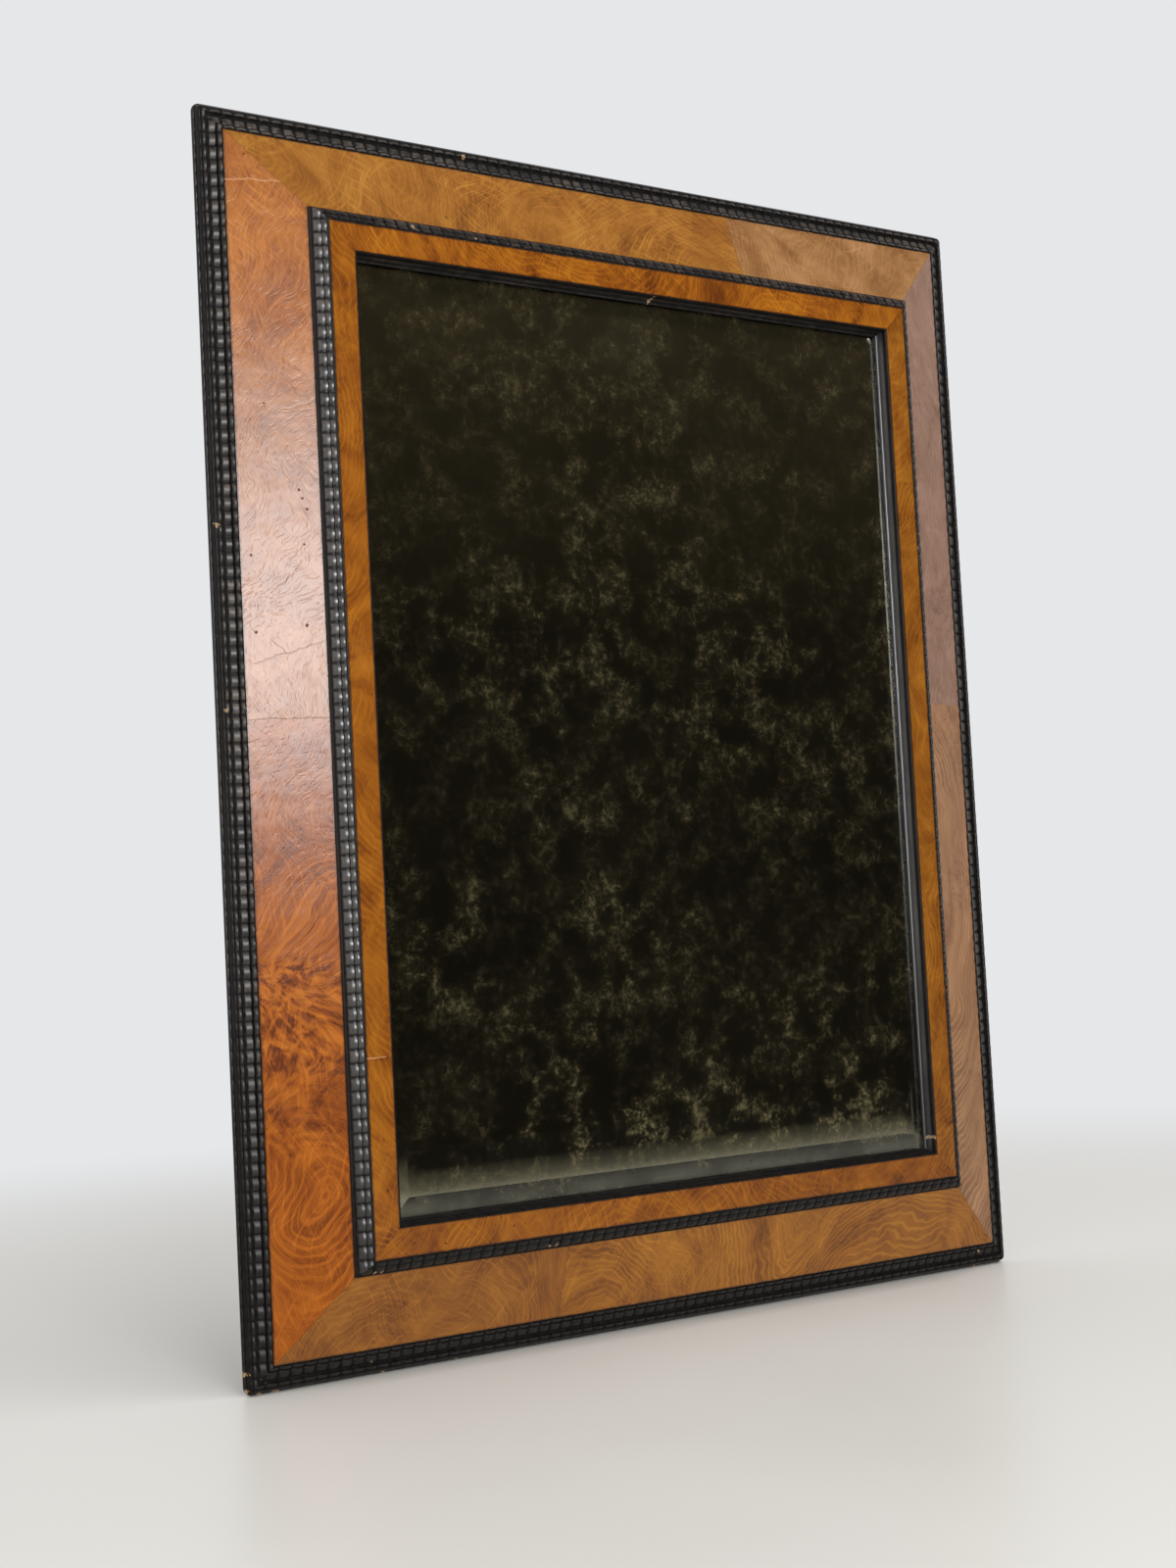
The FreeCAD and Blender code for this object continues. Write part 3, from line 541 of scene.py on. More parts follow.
    def polish(self, colour, dents):
        """The finished leaf: satin wood under a wavy coat of polish, which is thin in the dents."""
        relief = self.minus(self.times(self.fibres, 0.4), self.plus(self.pores, dents))
        wrinkles = self.streaks(self.bent, self.seed + 4, self.leaf.slants[0], *WRINKLE_SIZE)
        wrinkles = self.span(wrinkles, 0.25, 0.5)
        waves = self.bump(self.noise(self.spot, 60.0), 0.5 * MM, 0.4)
        on_coat = self.bump(relief, 0.035 * MM, normal=self.bump(wrinkles, 0.03 * MM, normal=waves))
        on_wood = self.bump(relief, 0.1 * MM, normal=self.bump(wrinkles, 0.06 * MM, normal=waves))
        coat = self.times(self.span(dents, 0.0, 1.0, 0.75, 0.1),
                          self.span(self.z, *POLISH_WEAR, self.leaf.polished, 1.0))
        smear = self.span(self.noise(self.spot, 38.0, 3.0, 0.6), *USUAL, 0.34, 0.48)
        return self.finish(Base_Color=colour, Roughness=smear, Normal=on_wood, Coat_Weight=coat,
                           Coat_Roughness=0.25, Coat_Normal=on_coat, Specular_IOR_Level=0.05)


def burl(name, seed, band, traits):
    """Polished burl: light growth lines on cloudy wood, crossing strokes, fibres and specks."""
    tree = Burl(name, seed, SimpleNamespace(**{**USUAL_LEAF, **traits}))
    holes = tree.holes()
    colour = tree.mix(holes, tree.wood(), SPECK)
    # Painted shade along the band's edges next to the mouldings, and dark mitre joints
    colour = tree.mix(tree.edge_shade_and_joints(band), colour, EDGE_SHADE_AND_JOINTS)
    colour, cracks = tree.marked(colour)
    return tree.polish(colour, tree.most(holes, cracks))


# Ebonised mouldings

BLACKS = (linear(16, 15, 15), linear(34, 31, 30))
RUBBED = linear(92, 80, 70)
NICKED = linear(104, 76, 50)
BARE_WOOD = linear(158, 130, 100)

# Worn or chipped spots that show pale wood: the centre (x, z) and the radius, in millimetres
CHIPS = [
    (-109.9, 715.1, 2.2), (-162.0, 656.6, 1.6), (-119.5, 655.4, 1.3), (8.8, 634.0, 1.6),
    (-285.2, 12.0, 1.8), (-285.0, 2.0, 2.6), (-277.0, 0.3, 1.7), (-266.0, 0.2, 1.4), (258.5, 11.0, 1.4),
    (258.2, 1.0, 1.6), (200.5, 94.6, 1.6), (-282.2, 478.3, 1.7), (-281.5, 374.2, 1.5),
    (218.4, 488.2, 1.2), (-97.0, 61.2, 1.4), (-101.5, 61.0, 1.0), (-212.0, 60.4, 1.2),
    (-216.5, 60.2, 1.1), (-268.5, 0.2, 1.5), (-200.5, 0.2, 1.4), (-151.7, 0.3, 1.3), (-209.1, 7.8, 0.9),
]
RAGGED = 4 * MM

# Share of the gloss that the dust leaves at the foot of the frame, and the heights where it ends
DUSTY = 0.45
DUST_FADE = (0.02, 0.26)

# Index of refraction of the polish, and how much a gloss above 1 adds to it
POLISH_IOR = 1.5
IOR_GAIN = 0.25


def bare_wood(tree, place):
    """1 where the black is chipped off the wood, with ragged edges."""
    x, _, z = tree.split(place)
    plan = tree.join(x, 0.0, z)
    ragged = tree.times(tree.minus(tree.noise(place, 700.0, 3.0), 0.5), RAGGED)
    bare = 0.0
    for chip in CHIPS:
        chip_x, chip_z, radius = [value * MM for value in chip]
        away = tree.plus(tree.away(plan, chip_x, chip_z), ragged)
        bare = tree.most(bare, tree.span(away, radius * 0.55, radius * 0.8, 1.0, 0.0))
    return bare


def ebonised(name, wear, gloss):
    """Black polished wood, rubbed on its crests, dull in its grooves and chipped in places."""
    tree = Tree(name)
    place = tree.place()
    shine = tree.times(tree.attribute("shine"), tree.span(tree.split(place)[2], *DUST_FADE, DUSTY, 1.0))
    dust = tree.noise(place, 260.0, 3.0, 0.6)
    patches = tree.noise(place, 34.0, 3.0, 0.6)

    colour = tree.ramp(dust, zip(USUAL, BLACKS))
    rubbed = tree.times(tree.span(shine, 0.55, 1.0), tree.span(patches, 0.35, 0.7))
    rubbed = tree.times(rubbed, tree.span(dust, 0.3, 0.6))
    colour = tree.mix(tree.times(rubbed, wear), colour, RUBBED)
    nicks = tree.times(tree.span(tree.cells(place, 190.0), 0.05, 0.12, 1.0, 0.0),
                       tree.span(tree.noise(place, 80.0), 0.6, 0.66))
    colour = tree.mix(nicks, colour, NICKED)
    bare = bare_wood(tree, place)
    colour = tree.mix(bare, colour, BARE_WOOD)

    roughness = tree.plus(tree.span(patches, *USUAL, 0.34, 0.46), tree.times(bare, 0.4))
    relief = tree.minus(tree.times(tree.noise(place, 1300.0), 0.4), bare)
    return tree.finish(Base_Color=colour, Roughness=roughness, Normal=tree.bump(relief, 0.05 * MM),
                       Coat_Weight=tree.times(shine, min(1.0, gloss)), Coat_Roughness=0.43,
                       Specular_IOR_Level=tree.times(shine, min(1.0, 0.6 * gloss)),
                       IOR=POLISH_IOR + IOR_GAIN * max(0.0, gloss - 1))


# A moulding's section: strokes of control points (inset, depth, share of the ripple, gloss),
# in millimetres. A stroke is a smooth line and two strokes meet at a sharp quirk.
OUTER_STROKES = [
    [(0.5, 0.0, 0, 0.3), (0.1, 0.4, 0, 0.3), (0.0, 1.4, 0, 0.5), (0.3, 2.1, 0.2, 0.7), (0.9, 2.5, 0.4, 0.8),
     (1.3, 2.4, 0.3, 0.5)],
    [(1.3, 2.4, 0, 0.3), (1.5, 4.2, 0, 0.25), (2.0, 5.4, 0.2, 0.25), (2.8, 6.15, 0.4, 0.4),
     (3.4, 6.2, 0.4, 0.4), (3.7, 5.8, 0.3, 0.2)],
    [(3.7, 5.8, 0.4, 0.2), (3.9, 6.5, 0.8, 0.5), (4.4, 6.95, 1, 0.8), (5.3, 7.3, 1, 0.8),
     (5.8, 7.1, 0.8, 0.5), (6.0, 5.8, 0.4, 0.1)],
    [(6.0, 5.8, 0.3, 0.1), (6.9, 5.6, 0.3, 0.1), (7.7, 5.7, 0.4, 0.2)],
    [(7.7, 5.7, 0.5, 0.2), (7.9, 6.25, 0.9, 0.6), (8.6, 6.65, 1, 1), (10.2, 7.2, 1, 1), (11.4, 7.55, 1, 1),
     (11.9, 7.2, 0.8, 0.5), (12.1, 6.7, 0.6, 0.1)],
    [(12.1, 6.7, 0.6, 0.1), (12.3, 8.0, 0.9, 0.3), (12.8, 8.9, 1, 0.9), (13.5, 9.3, 1, 1),
     (14.2, 9.63, 1, 0.9), (14.6, 9.3, 0.8, 0.5), (14.8, 8.3, 0.4, 0.1)],
    [(14.8, 8.3, 0.2, 0.1), (15.2, 8.2, 0, 0.1)],
]
OUTER_BACK = [(15.2, 0.0)]
MID_STROKES = [
    [(58.6, 24.2, 0, 0.3), (58.65, 25.2, 0, 0.3), (58.85, 26.0, 0, 0.3), (59.3, 26.4, 0, 0.2)],
    [(59.3, 26.4, 0, 0.1), (59.5, 27.2, 0, 0.1), (59.9, 27.8, 0.2, 0.2)],
    [(59.9, 27.8, 0.5, 0.5), (60.2, 28.7, 1, 1), (60.8, 29.7, 1, 1), (61.8, 30.55, 1, 1), (62.9, 31.05, 1, 1),
     (63.5, 31.2, 1, 0.9), (63.8, 30.9, 0.9, 0.2)],
    [(63.8, 31.0, 0.9, 0.3), (64.0, 31.7, 1, 1), (64.5, 32.35, 1, 1), (65.3, 32.85, 1, 1),
     (66.1, 33.08, 1, 1), (66.6, 32.9, 0.6, 0.3)],
    [(66.6, 32.7, 0.2, 0.2), (66.9, 33.05, 0, 0.2), (67.15, 33.18, 0, 0.2), (67.4, 33.15, 0, 0.2)],
]
MID_BACK = [(67.4, 23.3), (58.6, 23.3)]
SIGHT_STROKES = [
    [(83.4, 32.6, 0, 0.1), (83.5, 33.0, 0, 0.2), (84.0, 33.1, 0, 0.2), (84.4, 33.0, 0, 0.1),
     (84.6, 32.6, 0, 0.1)],
    [(84.6, 32.6, 0, 0.1), (84.75, 31.4, 0, 0.1), (84.85, 30.4, 0, 0.2)],
    [(84.85, 30.4, 0, 0.6), (85.05, 29.2, 0, 1), (85.3, 28.0, 0, 1), (85.5, 27.0, 0, 0.7)],
    [(85.5, 27.0, 0, 0.1), (85.8, 26.5, 0, 0.1), (86.4, 26.2, 0, 0.1)],
    [(86.4, 26.2, 0, 0.3), (86.65, 26.35, 0, 0.8), (87.05, 26.1, 0, 0.7), (87.4, 25.5, 0, 0.55),
     (87.6, 24.85, 0, 0.4)],
]
SIGHT_BACK = [(87.6, 24.8), (83.4, 24.8)]

# For each kind of moulding: the node that it replaces, its section, its ripple and where that
# starts, whether its corners are worn round, its wear, and the gloss left on each side
RIPPLE_DEPTH = 0.85 * MM
MOULDINGS = {
    "outer_ripple": ("outer_moulding", OUTER_STROKES, OUTER_BACK, RIPPLE_DEPTH, 0.0, True, 0.8,
                     {"left": 0.66, "right": 0.8, "top": 0.95, "bottom": 0.55}),
    "middle_ripple": ("mid_moulding", MID_STROKES, MID_BACK, RIPPLE_DEPTH, 0.4, False, 0.6,
                      {"left": 1.45, "right": 0.3, "top": 0.17, "bottom": 0.4}),
    "sight_line": ("sight_edge", SIGHT_STROKES, SIGHT_BACK, 0.0, 0.0, False, 0.5,
                   {"left": 0.4, "right": 3.8, "top": 0.35, "bottom": 0.8}),
}

# For each side: how to turn a place along the side and an inset into x and z, and half its length
SIDES = {
    "left": (lambda along, inset: (-HALF_WIDTH + inset, HEIGHT / 2 + along), HEIGHT / 2),
    "right": (lambda along, inset: (HALF_WIDTH - inset, HEIGHT / 2 - along), HEIGHT / 2),
    "top": (lambda along, inset: (along, HEIGHT - inset), HALF_WIDTH),
    "bottom": (lambda along, inset: (-along, inset), HALF_WIDTH),
}

# Share of a pitch by which the ripple starts later on each side than on the one before
SIDE_SHIFT = 0.27

POINTS_PER_STROKE_STEP = 3
LEAST_STEP = 0.01 * MM
PITCH = 7.7 * MM
STATIONS_PER_PITCH = 12
VALLEY_WIDTH = 0.16
CORNER_RADIUS = 5 * MM
LEAST_RADIUS = 1e-9
SHARP_ANGLE = math.radians(38)

# How fast the shine comes up from a valley, and what is left of it there
SHINE_RISE = 2.2
VALLEY_SHINE = 0.1


def smooth_line(points, steps):
    """A Catmull-Rom line through the points, with that many steps between each two."""
    points = np.array(points, float)
    padded = np.vstack([2 * points[0] - points[1], points, 2 * points[-1] - points[-2]])
    line = []
    for before, here, after, beyond in zip(padded, padded[1:], padded[2:], padded[3:]):
        for share in np.arange(steps) / steps:
            line.append(0.5 * (2 * here + (after - before) * share
                               + (2 * before - 5 * here + 4 * after - beyond) * share ** 2
                               + (3 * here - before - 3 * after + beyond) * share ** 3))
    return line + [points[-1]]


def section(strokes, back):
    """The closed section of a moulding: rows of inset, depth, share of ripple and gloss."""
    rows = []
    for stroke in strokes:
        nearest = min(point[0] for point in stroke)
        top = max(point[1] for point in stroke)
        for inset, depth, share, gloss in smooth_line(stroke, POINTS_PER_STROKE_STEP):
            rows.append((max(inset, nearest) * MM, min(depth, top) * MM, share, gloss))
    rows += [(inset * MM, depth * MM, 0.0, 0.0) for inset, depth in back]
    kept = [rows[0]]
    for row in rows[1:]:
        if math.dist(row[:2], kept[-1][:2]) > LEAST_STEP:
            kept.append(row)
    return np.array(kept)


def ripple(along):
    """Height of the ripple, 1 on a crest and 0 in a valley, a line of short rounded waves."""
    wave = np.abs(np.cos(np.pi * along / PITCH))
    crest = math.sqrt(1 + VALLEY_WIDTH ** 2) - VALLEY_WIDTH
    return (np.sqrt(wave ** 2 + VALLEY_WIDTH ** 2) - VALLEY_WIDTH) / crest


def stations(insets, half):
    """Places along a side for each line of a section: straight across, and fanned out to the mitres."""
    step = PITCH / STATIONS_PER_PITCH
    plain = math.floor((half - insets.max()) / step) - 1
    middle = np.arange(-plain, plain + 1) * step
    last = middle[-1]
    count = math.ceil((half - insets.min() - last) / step)
    fanned = [last + (half - insets - last) * share for share in np.arange(1, count + 1) / count]
    straight = [np.full(len(insets), place) for place in middle]
    return np.array([-places for places in reversed(fanned)] + straight + fanned)


def rounded_corner(along, inset, half):
    """Bends the ends of the outermost lines round the frame's worn corners."""
    past = np.maximum(0.0, np.abs(along) - (half - CORNER_RADIUS))
    radius = np.maximum(CORNER_RADIUS - inset, LEAST_RADIUS)
    bends = (past > 0) & (inset < CORNER_RADIUS)
    angle = np.clip(math.pi / 4 * past / radius, 0, math.pi / 4)
    new_along = np.sign(along) * (half - CORNER_RADIUS + radius * np.sin(angle))
    new_inset = CORNER_RADIUS - radius * np.cos(angle)
    return np.where(bends, new_along, along), np.where(bends, new_inset, inset)


def skin(count, width):
    """Faces between each two sections next to each other, and the two mitred ends."""
    index = np.arange(count * width).reshape(count, width)
    ahead = np.roll(index, -1, axis=1)
    faces = np.stack([index[:-1], ahead[:-1], ahead[1:], index[1:]], axis=-1).reshape(-1, 4).tolist()
    return faces + [index[0][::-1].tolist(), index[-1].tolist()]


def put(name, data):
    """A new object in the scene."""
    thing = bpy.data.objects.new(name, data)
    bpy.context.scene.collection.objects.link(thing)
    return thing


def moulding(name, node, side, strokes, back, depth_of_ripple, phase, rounded):
    """One mitred length of moulding in place of a CAD node."""
    where, half = SIDES[side]
    insets, depths, shares, glosses = section(strokes, back).T
    along = stations(insets, half)
    inset = np.broadcast_to(insets, along.shape)
    wave = ripple(along + phase * PITCH)
    depth = depths - depth_of_ripple * shares * (1 - wave)
    if rounded:
        along, inset = rounded_corner(along, inset, half)
    x, z = where(along, inset)
    corners = np.stack([x, BACK_Y - depth, z], axis=-1)

    mesh = bpy.data.meshes.new(name)
    mesh.from_pydata(corners.reshape(-1, 3).tolist(), [], skin(*along.shape))
    dulled = 1 - shares * (1 - np.clip(wave * SHINE_RISE, VALLEY_SHINE, 1))
    shine = mesh.attributes.new("shine", "FLOAT", "POINT")
    shine.data.foreach_set("value", (glosses * dulled).reshape(-1).astype(np.float32))
    mesh.shade_smooth()
    mesh.set_sharp_from_angle(angle=SHARP_ANGLE)
    piece = put(name, mesh)
    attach(piece, "frame")
    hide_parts(node)
    return piece


def add_mouldings():
    """The outer, middle and sight mouldings, in place of their CAD nodes."""
    for number, side in enumerate(SIDES):
        for kind, (node, strokes, back, depth_of_ripple, shift, rounded, wear, gloss) in MOULDINGS.items():
            piece = moulding(f"{kind}_{side}", f"{node}_{side}", side, strokes, back, depth_of_ripple,
                             SIDE_SHIFT * number + shift, rounded)
            piece.data.materials.append(ebonised(f"ebonised_{kind}_{side}", wear, gloss[side]))


# Glass

PLATE_EDGE = 83.9 * MM
BEVEL_END = 97.9 * MM
PLATE_FRONT = 26.271 * MM
BEVEL_FOOT = 24.271 * MM
PLATE_BACK = 21.271 * MM
AIR_GAP = 0.06 * MM

GLASS_TINTS = ((0.93, 0.95, 0.92, 1), (0.97, 0.98, 0.95, 1))
SCRATCH_STRETCH = (900, 1, 60)

# The silvering: its two smoky tones, its foxing, the breath of haze at the top, the pale band
# along its foot, which is haze and painted reflection of the lit floor, and its pinholes
SMOKE = ((0.11, 0.095, 0.066, 1), (0.2, 0.175, 0.125, 1))
FOX = linear(184, 170, 128)
BREATH = linear(180, 180, 168)
# Pale band along the foot: haze, and painted reflection of the lit floor
FOOT_HAZE_AND_REFLECTION = linear(225, 223, 208)
PINHOLE = linear(12, 11, 9)

FOX_WANDER = 6 * MM
BREATH_PLACE = (-0.011, 0.608)
BREATH_STRETCH = (0.35, 0, 1)
BREATH_FADE = (0.004, 0.024)
FOOT_BAND_FADE = (0.089, 0.104)


def plate_glass():
    """Clear old plate, faintly green, with a few hairline scratches."""
    tree = Tree("plate_glass")
    place = tree.place()
    scratches = tree.noise(tree.vector("MULTIPLY", place, SCRATCH_STRETCH), 1.0, 1.0)
    roughness = tree.times(tree.span(scratches, 0.74, 0.78), 0.06)
    colour = tree.mix(tree.noise(place, 18.0, 3.0, 0.6), *GLASS_TINTS)
    return tree.finish(Base_Color=colour, Roughness=roughness, Transmission_Weight=1.0, IOR=1.5)


def mirror_plate():
    """The bevelled plate, with a hair of air between its back and the silvering."""
    loops = [(PLATE_EDGE, PLATE_BACK + AIR_GAP), (PLATE_EDGE, BEVEL_FOOT), (BEVEL_END, PLATE_FRONT)]
    corners = []
    for inset, depth in loops:
        x, low, high, y = HALF_WIDTH - inset, inset, HEIGHT - inset, BACK_Y - depth
        corners += [(-x, y, low), (x, y, low), (x, y, high), (-x, y, high)]
    faces = [(3, 2, 1, 0), (8, 9, 10, 11)]
    for loop in (0, 4):
        faces += [(loop + i, loop + (i + 1) % 4, loop + 4 + (i + 1) % 4, loop + 4 + i) for i in range(4)]
    mesh = bpy.data.meshes.new("mirror_plate")
    mesh.from_pydata(corners, [], faces)
    mesh.materials.append(plate_glass())
    piece = put("mirror_plate", mesh)
    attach(piece, "frame")
    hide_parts("mirror_glass")
    return piece


def foxing(tree, plan, bent):
    """Feathery wisps of tarnish in clouds, denser in patches."""
    clouds = tree.span(tree.noise(bent, 46.0, 6.0, 0.7, 0.15), 0.4, 0.66)
    tufts = tree.span(tree.noise(bent, 170.0, 5.0, 0.72), 0.36, 0.66, 0.25, 1.3)
    patches = tree.span(tree.noise(plan, 12.0, 3.0, 0.55), 0.38, 0.58, 0.5, 1.0)
    return tree.math("MINIMUM", tree.times(tree.times(clouds, tufts), patches), 1.0)


def silvering():
    """Smoky silvering, foxed all over with feathery olive wisps and a few dark pinholes."""
    tree = Tree("silvering")
    x, _, z = tree.split(tree.place())
    plan = tree.join(x, 0.3, z)
    bent = tree.wander(plan, plan, 60.0, FOX_WANDER, 2.0, 0.6)
    foxed = foxing(tree, plan, bent)
    breath = tree.times(tree.span(tree.away(bent, *BREATH_PLACE, BREATH_STRETCH), *BREATH_FADE, 0.28, 0.0),
                        tree.span(tree.noise(bent, 40.0, 3.0), 0.3, 0.6))
    # Pale band along the foot, brightest at the bottom: haze, and painted reflection of the lit floor
    foot_haze_and_reflection = tree.times(tree.span(z, *FOOT_BAND_FADE, 0.85, 0.0),
                      tree.span(tree.noise(bent, 26.0, 4.0), 0.3, 0.6, 0.6, 1.0))
    holes = tree.times(tree.span(tree.cells(plan, 120.0), 0.05, 0.12, 1.0, 0.0),
                       tree.span(tree.noise(plan, 30.0), 0.55, 0.65))

    colour = tree.ramp(tree.noise(plan, 14.0, 4.0, 0.6), zip(USUAL, SMOKE))
    for share, tone in ((foxed, FOX), (breath, BREATH), (foot_haze_and_reflection, FOOT_HAZE_AND_REFLECTION), (holes, PINHOLE)):
        colour = tree.mix(share, colour, tone)
    dulled = tree.most(tree.most(foxed, breath), foot_haze_and_reflection)
    return tree.finish(Base_Color=colour, Metallic=tree.minus(1.0, tree.times(dulled, 0.7)),
                       Roughness=tree.span(dulled, 0.15, 0.9, 0.0, 0.3))


# Pine

# Early wood, late wood and dirt
CARCASS_TONES = (linear(168, 126, 78), linear(124, 82, 46), linear(88, 62, 40))
FEATHER_TONES = (linear(150, 108, 64), linear(112, 74, 42), linear(84, 58, 38))
BOARD_TONES = (linear(146, 106, 66), linear(104, 68, 40), linear(74, 52, 36))
KNOT = linear(74, 42, 22)

PINE_RING = 3.2 * MM
PINE_SWAY = 0.05

# How much nearer the pith comes along each metre of the wood
PITH_SLOPE = 0.03


def pine(name, along, tones, seed, pith=(0.03, 0.06)):
    """Old bare pine: growth rings round a pith line, knots, saw marks and brown dirt."""
    tree = Tree(name)
    place = tree.place()
    x, y, z = tree.split(place)
    length, across = (z, x) if along == "z" else (x, z)
    early, late, dirty = tones
    shift = tree.noise(tree.vector("ADD", place, (seed, seed, seed)), 5.0)
    sway = tree.times(tree.minus(shift, 0.5), PINE_SWAY)
    centre = tree.plus(tree.minus(across, pith[0]), sway)
    rise = tree.plus(tree.minus(y, pith[1]), tree.times(length, PITH_SLOPE))
    reach = tree.math("SQRT", tree.plus(tree.times(centre, centre), tree.times(rise, rise)))
    turns = tree.plus(tree.over(reach, PINE_RING), tree.times(tree.noise(place, 30.0), 0.5))
    ring = tree.math("POWER", tree.math("FRACT", turns), 2.2)
    drawn_out = tree.join(tree.times(across, 1500.0), tree.times(y, 700.0), tree.times(length, 30.0))
    fibres = tree.noise(drawn_out, 1.0, 3.0, 0.6)
    colour = tree.mix(ring, early, late)
    colour = tree.mix(tree.times(tree.span(fibres, *USUAL), 0.35), colour, late)

    shifted = tree.vector("ADD", tree.vector("MULTIPLY", place, (1, 0.2, 1)), (seed, 0, seed))
    colour = tree.mix(tree.span(tree.cells(shifted, 7.0), 0.05, 0.09, 0.85, 0.0), colour, KNOT)
    dirt = tree.span(tree.noise(place, 11.0, 4.0, 0.6), 0.4, 0.72, 0.0, 0.75)
    colour = tree.mix(dirt, colour, dirty)
    saw = tree.noise(tree.join(0.0, 0.0, tree.times(length, 420.0)), 1.0, 1.0)
    relief = tree.plus(tree.plus(tree.times(fibres, 0.5), tree.times(saw, 0.6)), tree.times(ring, 0.3))
    return tree.finish(Base_Color=colour, Roughness=tree.span(fibres, *USUAL, 0.62, 0.8),
                       Normal=tree.bump(relief, 0.18 * MM))


# Metals

# For each metal: bright and dull tones, the scale of its stains, and its roughness where bright
IRON = (linear(92, 84, 78), linear(72, 48, 34), 900.0, 0.45)
BRASS = (linear(200, 160, 88), linear(118, 90, 48), 260.0, 0.28)
RING_BRASS = (linear(212, 174, 100), linear(132, 102, 56), 300.0, 0.22)


def metal(name, bright, dull, scale, polish):
    """Old metal: bright where it is rubbed and dull and stained elsewhere."""
    tree = Tree(name)
    place = tree.place()
    stained = tree.span(tree.noise(place, scale, 4.0, 0.65), 0.38, 0.62)
    pits = tree.noise(place, scale * 9, 2.0, 0.6)
    return tree.finish(Base_Color=tree.mix(stained, bright, dull),
                       Metallic=tree.span(stained, 0.0, 1.0, 1.0, 0.75),
                       Roughness=tree.plus(polish, tree.times(stained, 0.25)),
                       Normal=tree.bump(pits, 0.04 * MM))


# Materials of the CAD nodes that keep their own meshes

def dress(material, *nodes):
    """Gives CAD nodes a better material."""
    for node in nodes:
        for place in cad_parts[node].material_slots:
            place.material = material


def dress_veneers():
    for number, (leaf, traits) in enumerate(WIDE_LEAVES.items()):
        dress(burl("wide_" + leaf, number * 1.7, (BAND_START, BAND_END), traits), "wide_veneer_" + leaf)
    for number, (leaf, traits) in enumerate(INNER_LEAVES.items()):
        dress(burl("inner_" + leaf, 30 + number * 1.3, (INNER_START, SIGHT_START), traits),
              "inner_veneer_" + leaf)


def dress_pine():
    dress(pine("pine_upright", "z", CARCASS_TONES, 0.0, pith=(0.24, 0.05)),
          "carcass_stile_left", "carcass_stile_right", "inner_frame_stile_left", "inner_frame_stile_right")
    dress(pine("pine_level", "x", CARCASS_TONES, 2.3, pith=(0.02, 0.06)),
          "carcass_rail_top", "carcass_rail_bottom", "inner_frame_rail_top", "inner_frame_rail_bottom")
    dress(pine("block_pine", "z", CARCASS_TONES, 5.1), "glue_blocks")
    dress(pine("feather_pine", "x", FEATHER_TONES, 7.7), "corner_feathers")
    for number, board in enumerate(("left", "middle", "right")):
        dress(pine("board_pine_" + board, "z", BOARD_TONES, 11 + number * 3.1,
                   pith=(-0.15 + 0.16 * number, 0.04)), "backboard_" + board)


def dress_metals():
    dress(metal("nail_iron", *IRON), "backboard_nails")
    dress(metal("hanger_brass", *BRASS), "hanger_strap_left", "hanger_strap_right", "hanger_screws")
    dress(metal("ring_brass", *RING_BRASS), "hanger_ring_left", "hanger_ring_right")


# Studio

WALL = linear(230, 231, 233)
FLOOR = linear(232, 230, 224)
FLOOR_PARTNER = linear(224, 222, 216)
WORLD_LEVEL = 0.5

# The photograph's camera: its place, then its right, up and backward directions
CAMERA_PLACE = (-0.7903, -1.0927, 0.2449)
CAMERA_RIGHT = (0.82776, -0.55867, -0.05193)
CAMERA_UP = (0.00636, -0.08321, 0.99651)
CAMERA_BACK = (-0.56104, -0.82521, -0.06532)
CAMERA_LENS = 49.89
SENSOR = 36
NEAREST_SEEN = 0.01

FLOOR_REACH = 12.0
FLOOR_FADE = (0.5, 1.5)

# Tone of the floor in reflections, over how far ahead of the mirror it lies, in units of two metres
GROUND = [(0.3, (0.6, 0.585, 0.53, 1)), (0.36, (0.5, 0.485, 0.42, 1)), (0.39, (0.34, 0.33, 0.28, 1)),
          (0.43, (0.17, 0.165, 0.135, 1)), (0.47, (0.035, 0.033, 0.027, 1))]
GROUND_UNIT = -0.5

# Plan of the dim room in front of the mirror, which only reflections show
ROOM_PLAN = [(2.6, -0.4), (1.7, -1.15), (0.1, -1.15), (-0.2, -3.2), (-3.2, -3.2)]
CEILING_END = -0.12
ROOM_HEIGHT = 2.0

# Tones of its walls between two heights, and of its ceiling, with where the walls turn into it
ROOM_WALLS = [(0.15, (0.03, 0.027, 0.02, 1)), (0.45, (0.032, 0.029, 0.021, 1)), (1.0, (0.1, 0.086, 0.055, 1))]
ROOM_WALLS_SPAN = (0.1, 1.2)
ROOM_CEILING = (0.2, 0.19, 0.17, 1)
CEILING_SPAN = (1.7, 1.95)

# The lamps: place, aim, size and power
WINDOW = ((-0.75, -2.3, 0.77), (-0.25, 0, 0.42), (0.8, 0.4), 31.0)
OVERHEAD = ((0.3, -0.8, 2.6), (0, 0, 0.3), (1.8, 1.8), 28.0)


def add_camera():
    data = bpy.data.cameras.new("camera")
    data.lens = CAMERA_LENS
    data.sensor_width = SENSOR
    data.clip_start = NEAREST_SEEN
    camera = put("camera", data)
    turn = Matrix((CAMERA_RIGHT, CAMERA_UP, CAMERA_BACK)).transposed()
    camera.matrix_world = Matrix.Translation(CAMERA_PLACE) @ turn.to_4x4()
    bpy.context.scene.camera = camera


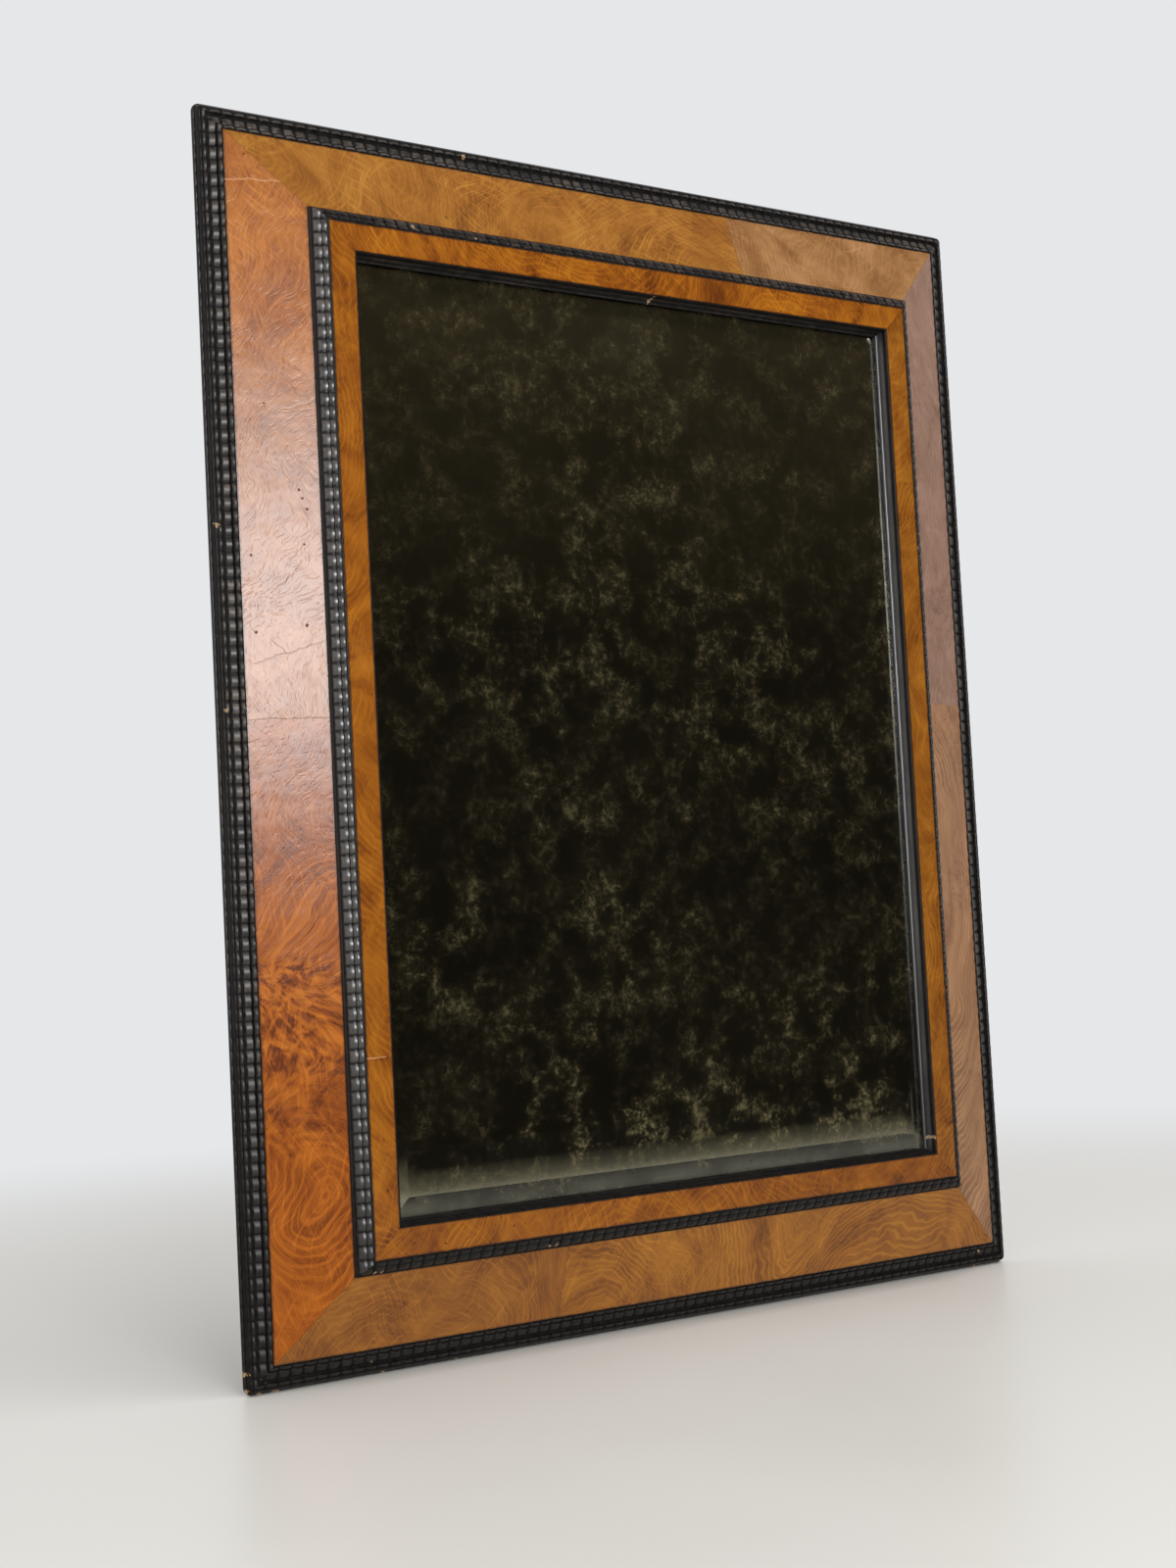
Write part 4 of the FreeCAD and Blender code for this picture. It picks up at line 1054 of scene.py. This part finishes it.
def add_world():
    """A plain soft light for the object, and a pale background behind it."""
    tree = Tree("studio", bpy.data.worlds)
    light = tree.feed(tree.nodes["Background"], Color=(1, 1, 1, 1), Strength=WORLD_LEVEL)
    backdrop = tree.feed(tree.new("Background"), Color=WALL)
    seen = tree.rays("Is Camera Ray", "Is Glossy Ray", "Is Transmission Ray")
    mixed = tree.blend(seen, light.outputs[0], backdrop.outputs[0])
    bpy.context.scene.world = tree.show(mixed, "World Output")


def sheet(name, corners, faces, material):
    """A stage piece from its corners."""
    mesh = bpy.data.meshes.new(name)
    mesh.from_pydata(corners, [], faces)
    mesh.materials.append(material)
    piece = put(name, mesh)
    return piece


def add_floor():
    """A pale painted floor that fades into the background, and into the dim room in reflections."""
    tree = Tree("studio_floor")
    place = tree.place()
    mottle = tree.noise(place, 3.0, 3.0, 0.5)
    tree.finish(Base_Color=tree.mix(mottle, FLOOR_PARTNER, FLOOR),
                Roughness=tree.span(mottle, *USUAL, 0.36, 0.44), Specular_IOR_Level=0.35)
    far = tree.span(tree.vector("LENGTH", place), *FLOOR_FADE)
    faded = tree.blend(far, tree.nodes["Principled BSDF"].outputs[0], tree.glow(WALL))
    ground = tree.ramp(tree.times(tree.split(place)[1], GROUND_UNIT), GROUND)
    mirrored = tree.rays("Is Glossy Ray", "Is Transmission Ray")
    paint = tree.show(tree.blend(mirrored, faded, tree.glow(ground)))
    paint.cycles.emission_sampling = "NONE"
    r = FLOOR_REACH
    sheet("studio_floor", [(-r, -r, 0), (r, -r, 0), (r, r, 0), (-r, r, 0)], [(0, 1, 2, 3)], paint)


def add_room():
    """A dim brown room with a dark ceiling, seen in the glass and in the polish alone."""
    tree = Tree("dim_room")
    height = tree.split(tree.place())[2]
    tone = tree.ramp(tree.span(height, *ROOM_WALLS_SPAN), ROOM_WALLS)
    tone = tree.mix(tree.span(height, *CEILING_SPAN), tone, ROOM_CEILING)
    count = len(ROOM_PLAN)
    corners = [(x, y, 0) for x, y in ROOM_PLAN] + [(x, y, ROOM_HEIGHT) for x, y in ROOM_PLAN]
    corners += [(ROOM_PLAN[0][0], CEILING_END, ROOM_HEIGHT), (ROOM_PLAN[-1][0], CEILING_END, ROOM_HEIGHT)]
    faces = [(i, i + 1, count + i + 1, count + i) for i in range(count - 1)]
    faces.append([count + i for i in range(count)] + [2 * count + 1, 2 * count])
    room = sheet("dim_room", corners, faces, tree.show(tree.glow(tone)))
    room.visible_camera = False
    room.visible_diffuse = False
    room.visible_shadow = False


def add_lamp(name, place, aim, size, power):
    """A soft lamp that shines from place towards aim."""
    data = bpy.data.lights.new(name, "AREA")
    data.shape = "RECTANGLE"
    data.size, data.size_y = size
    data.energy = power
    lamp = put(name, data)
    away = Vector(aim) - Vector(place)
    lamp.matrix_world = Matrix.Translation(place) @ away.to_track_quat("-Z", "Y").to_matrix().to_4x4()
    lamp.visible_camera = False
    return lamp


def keep_off(lamp, piece):
    """Keeps a lamp's own image out of a piece, which it neither lights nor shows in."""
    unlit = bpy.data.collections.new("unlit_by_" + lamp.name)
    unlit.objects.link(piece)
    unlit.collection_objects[0].light_linking.link_state = "EXCLUDE"
    lamp.light_linking.receiver_collection = unlit


def add_studio(plate):
    add_camera()
    add_world()
    add_floor()
    add_room()
    keep_off(add_lamp("window", *WINDOW), plate)
    add_lamp("overhead", *OVERHEAD).visible_glossy = False


add_mouldings()
plate = mirror_plate()
dress_veneers()
dress(silvering(), "silvering")
dress_pine()
dress_metals()
add_studio(plate)
bpy.context.scene.view_settings.view_transform = "Standard"
